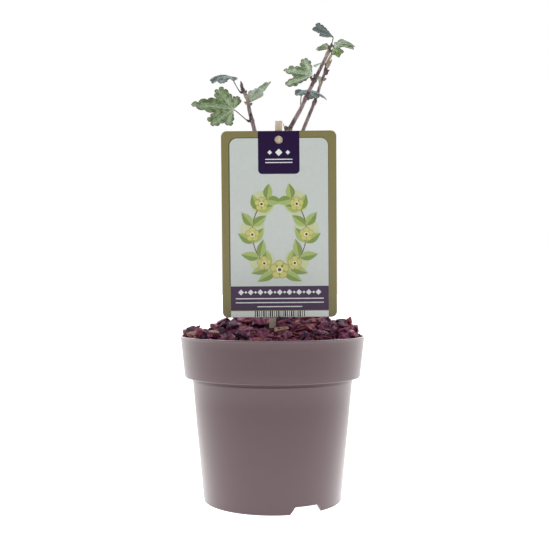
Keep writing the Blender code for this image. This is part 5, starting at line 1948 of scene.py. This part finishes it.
    def printing(self) -> None:
        """Builds the printed film: panel, tab, band, foot strip, garland and ornament."""
        width = CARD_WIDTH - 2 * self.border
        top = CARD_HEIGHT / 2 - self.panel_inset
        tab_centre = CARD_HEIGHT / 2 - 0.25 * MM - self.tab_height / 2
        for level, more, ink in ((0, self.outline, Ink.SHADE), (1, 0.0, Ink.PANEL)):
            corner = self.panel_corner + more
            panel = self.rounded(
                width + 2 * more, top + more - self.band_top, (corner, corner, 0, 0), 10,
                (more / self.outline * self.outline_shift, (top + more + self.band_top) / 2),
            )
            self.lay(panel, level, ink, pierced=True)
        tab = self.rounded(
            self.tab_width, self.tab_height, (0, 0, self.tab_corner, self.tab_corner), 8, (0, tab_centre)
        )
        self.lay(tab, 2, Ink.PURPLE, pierced=True)
        foot = -CARD_HEIGHT / 2 + 0.35 * MM
        for high, low, ink in ((self.band_top, self.band_foot, Ink.BAND), (self.strip_top, foot, Ink.WHITE)):
            self.lay(self.rounded(width, high - low, centre=(0, (high + low) / 2)), 2, ink)
        self.garland()
        self.ornament()
        seat(self.film_store.piece("card_print", [ink.finish() for ink in list(Ink)[:13]], 30))

    def build(self) -> None:
        """Builds the plate and what is printed on it."""
        self.plate()
        self.printing()


@dataclass
class SplitStick:
    """The split-wood stick behind the card, with torn fibres and a rough top."""

    over_card: float = 8.8 * MM
    under_card: float = 72 * MM
    point: float = 16 * MM
    step: float = 1.5 * MM
    sides: int = 28
    corner_power: float = 6.0
    grain: float = 0.07

    def build(self) -> None:
        """Builds the stick as one piece in the card's frame."""
        top = CARD_HEIGHT / 2 + self.over_card
        bottom = -CARD_HEIGHT / 2 - self.under_card
        count = round((top - bottom) / self.step)
        middle = CARD_THICKNESS / 2 + GAP + STICK_DEPTH / 2
        points = []
        for row in range(count + 1):
            height = bottom + (top - bottom) * row / count
            narrow = min(1.0, 0.25 + 0.75 * (height - bottom) / self.point)
            for side in range(self.sides):
                angle = 2 * pi * side / self.sides
                cosine, sine = polar(1, angle)
                power = self.corner_power
                square = (abs(cosine) ** power + abs(sine) ** power) ** (-1 / power)
                ring = Vector((cosine, sine, 0))
                rough = noise.noise(ring * 4 + Vector((0, 0, height / (22 * MM))))
                fine = noise.noise(ring * 11 + Vector((5, 0, height / (9 * MM))))
                factor = narrow * (0.93 + self.grain * rough + 0.03 * fine)
                torn = noise.noise(ring * 3 + Vector((9, 9, 0))) * 0.9 * MM if row == count else 0.0
                points.append(Vector((
                    STICK_WIDTH / 2 * cosine * square * factor,
                    middle + STICK_DEPTH / 2 * sine * square * factor,
                    height + torn,
                )))
        lean = Matrix.Translation((STICK_OFFSET, 0, 0)) @ Matrix.Rotation(STICK_LEAN, 4, "Y")
        place = PictureCard().placed() @ lean
        store = MeshStore()
        store.add([place @ point for point in points], tube_faces(count + 1, self.sides), 0)
        seat(store.piece("split_stick", (SPLIT_WOOD,), 45), ("card_stick",))


@dataclass
class Studio:
    """A pale floor, soft light from all round and the camera where the photograph was taken."""

    distance: float = 0.8
    eye_height: float = 0.1955
    focal_pixels: float = 866.0
    image_pixels: float = 550.0
    centre_x: float = 272.5
    horizon_y: float = 286.5
    sensor: float = 36.0
    floor_size: float = 40.0
    front_light: float = 0.1
    back_light: float = 2.0
    top_light: float = 1.25
    backdrop: float = 1.0
    key_power: float = 0.5
    # painted light: the floor's glow near the pot and further out
    near_glow: float = 1.3
    far_glow: float = 0.3

    def camera(self) -> None:
        """Places the camera and makes it the scene's."""
        data = bpy.data.cameras.new("camera")
        data.sensor_width = self.sensor
        data.lens = self.sensor * self.focal_pixels / self.image_pixels
        data.shift_x = (self.image_pixels / 2 - self.centre_x) / self.image_pixels
        data.shift_y = (self.horizon_y - self.image_pixels / 2) / self.image_pixels
        data.clip_start = 0.01
        data.clip_end = 100
        holder = linked("camera", data)
        holder.location = (0, -self.distance, self.eye_height)
        holder.rotation_euler = (radians(90), 0, 0)
        bpy.context.scene.camera = holder

    def floor(self) -> None:
        """Lays the pale floor, whose glow, brighter round the pot, is painted light standing in for a lit
        table.
        """
        half = self.floor_size / 2
        store = MeshStore()
        corners = ((-half, -half), (half, -half), (half, half), (-half, half))
        store.add([Vector((x, y, 0)) for x, y in corners], [(0, 1, 2, 3)], 0)
        finish = Finish("pale_floor", (0.86,) * 3, (0.88,) * 3, 0.8, 3.0, 1.0, 50.0, 0.01 * MM, 0.02)
        graph = Graph(finish.material().node_tree)
        lit = graph.tree.nodes["Principled BSDF"]
        # painted light: the floor glows, more strongly near the pot's middle
        lit.inputs["Emission Color"].default_value = (1, 1, 1, 1)
        spot = graph.add("ShaderNodeTexCoord").outputs["Object"]
        away = graph.add("ShaderNodeVectorMath", {0: spot}, operation="LENGTH").outputs["Value"]
        glow = graph.ramp(away, 0.07, 0.4, self.near_glow, self.far_glow)
        graph.feed(lit.inputs["Emission Strength"], glow)
        store.piece("floor", (finish,))

    def world(self) -> None:
        """Fills the room with white light, strong behind, beside and above, and weak from the front."""
        world = bpy.data.worlds.new("studio")
        world.use_nodes = True
        graph = Graph(world.node_tree)
        way = graph.add("ShaderNodeTexCoord").outputs["Generated"]
        parts = graph.add("ShaderNodeSeparateXYZ", {"Vector": way}).outputs
        behind = graph.ramp(parts["Y"], -0.78, 0.25, self.front_light, self.back_light)
        above = graph.ramp(parts["Z"], 0.4, 0.95, self.front_light, self.top_light)
        around = graph.maths("MAXIMUM", behind, above)
        seen = graph.add("ShaderNodeLightPath").outputs["Is Camera Ray"]
        strength = graph.add("ShaderNodeMix", {0: seen, 2: around, 3: self.backdrop}, data_type="FLOAT")
        background = world.node_tree.nodes["Background"]
        background.inputs["Color"].default_value = (1, 1, 1, 1)
        graph.feed(background.inputs["Strength"], strength.outputs[0])
        bpy.context.scene.world = world

    @staticmethod
    def panel(name: str, place: Sequence[float], target: Sequence[float], size: float, power: float) -> None:
        """Adds a soft square light panel that looks at a target."""
        data = bpy.data.lights.new(name, "AREA")
        data.size = size
        data.energy = power
        holder = linked(name, data)
        holder.location = place
        holder.rotation_euler = (Vector(target) - Vector(place)).to_track_quat("-Z", "Y").to_euler()

    def build(self) -> None:
        """Sets up the whole studio."""
        self.camera()
        self.floor()
        self.world()
        self.panel("key_panel", (-0.5, -0.9, 1.3), (0, 0, 0.3), 0.5, self.key_power)
        settings = bpy.context.scene.view_settings
        settings.view_transform = "Standard"
        settings.look = "None"


def main() -> None:
    """Builds the studio, then the potted bush from the pot up."""
    logging.basicConfig(level=logging.INFO, format="%(message)s")
    for part in (Studio(), Pot(), Mulch(), PictureCard(), SplitStick(), Stems(), Foliage()):
        LOG.info("building %s", type(part).__name__)
        part.build()


if __name__ == "__main__":
    main()
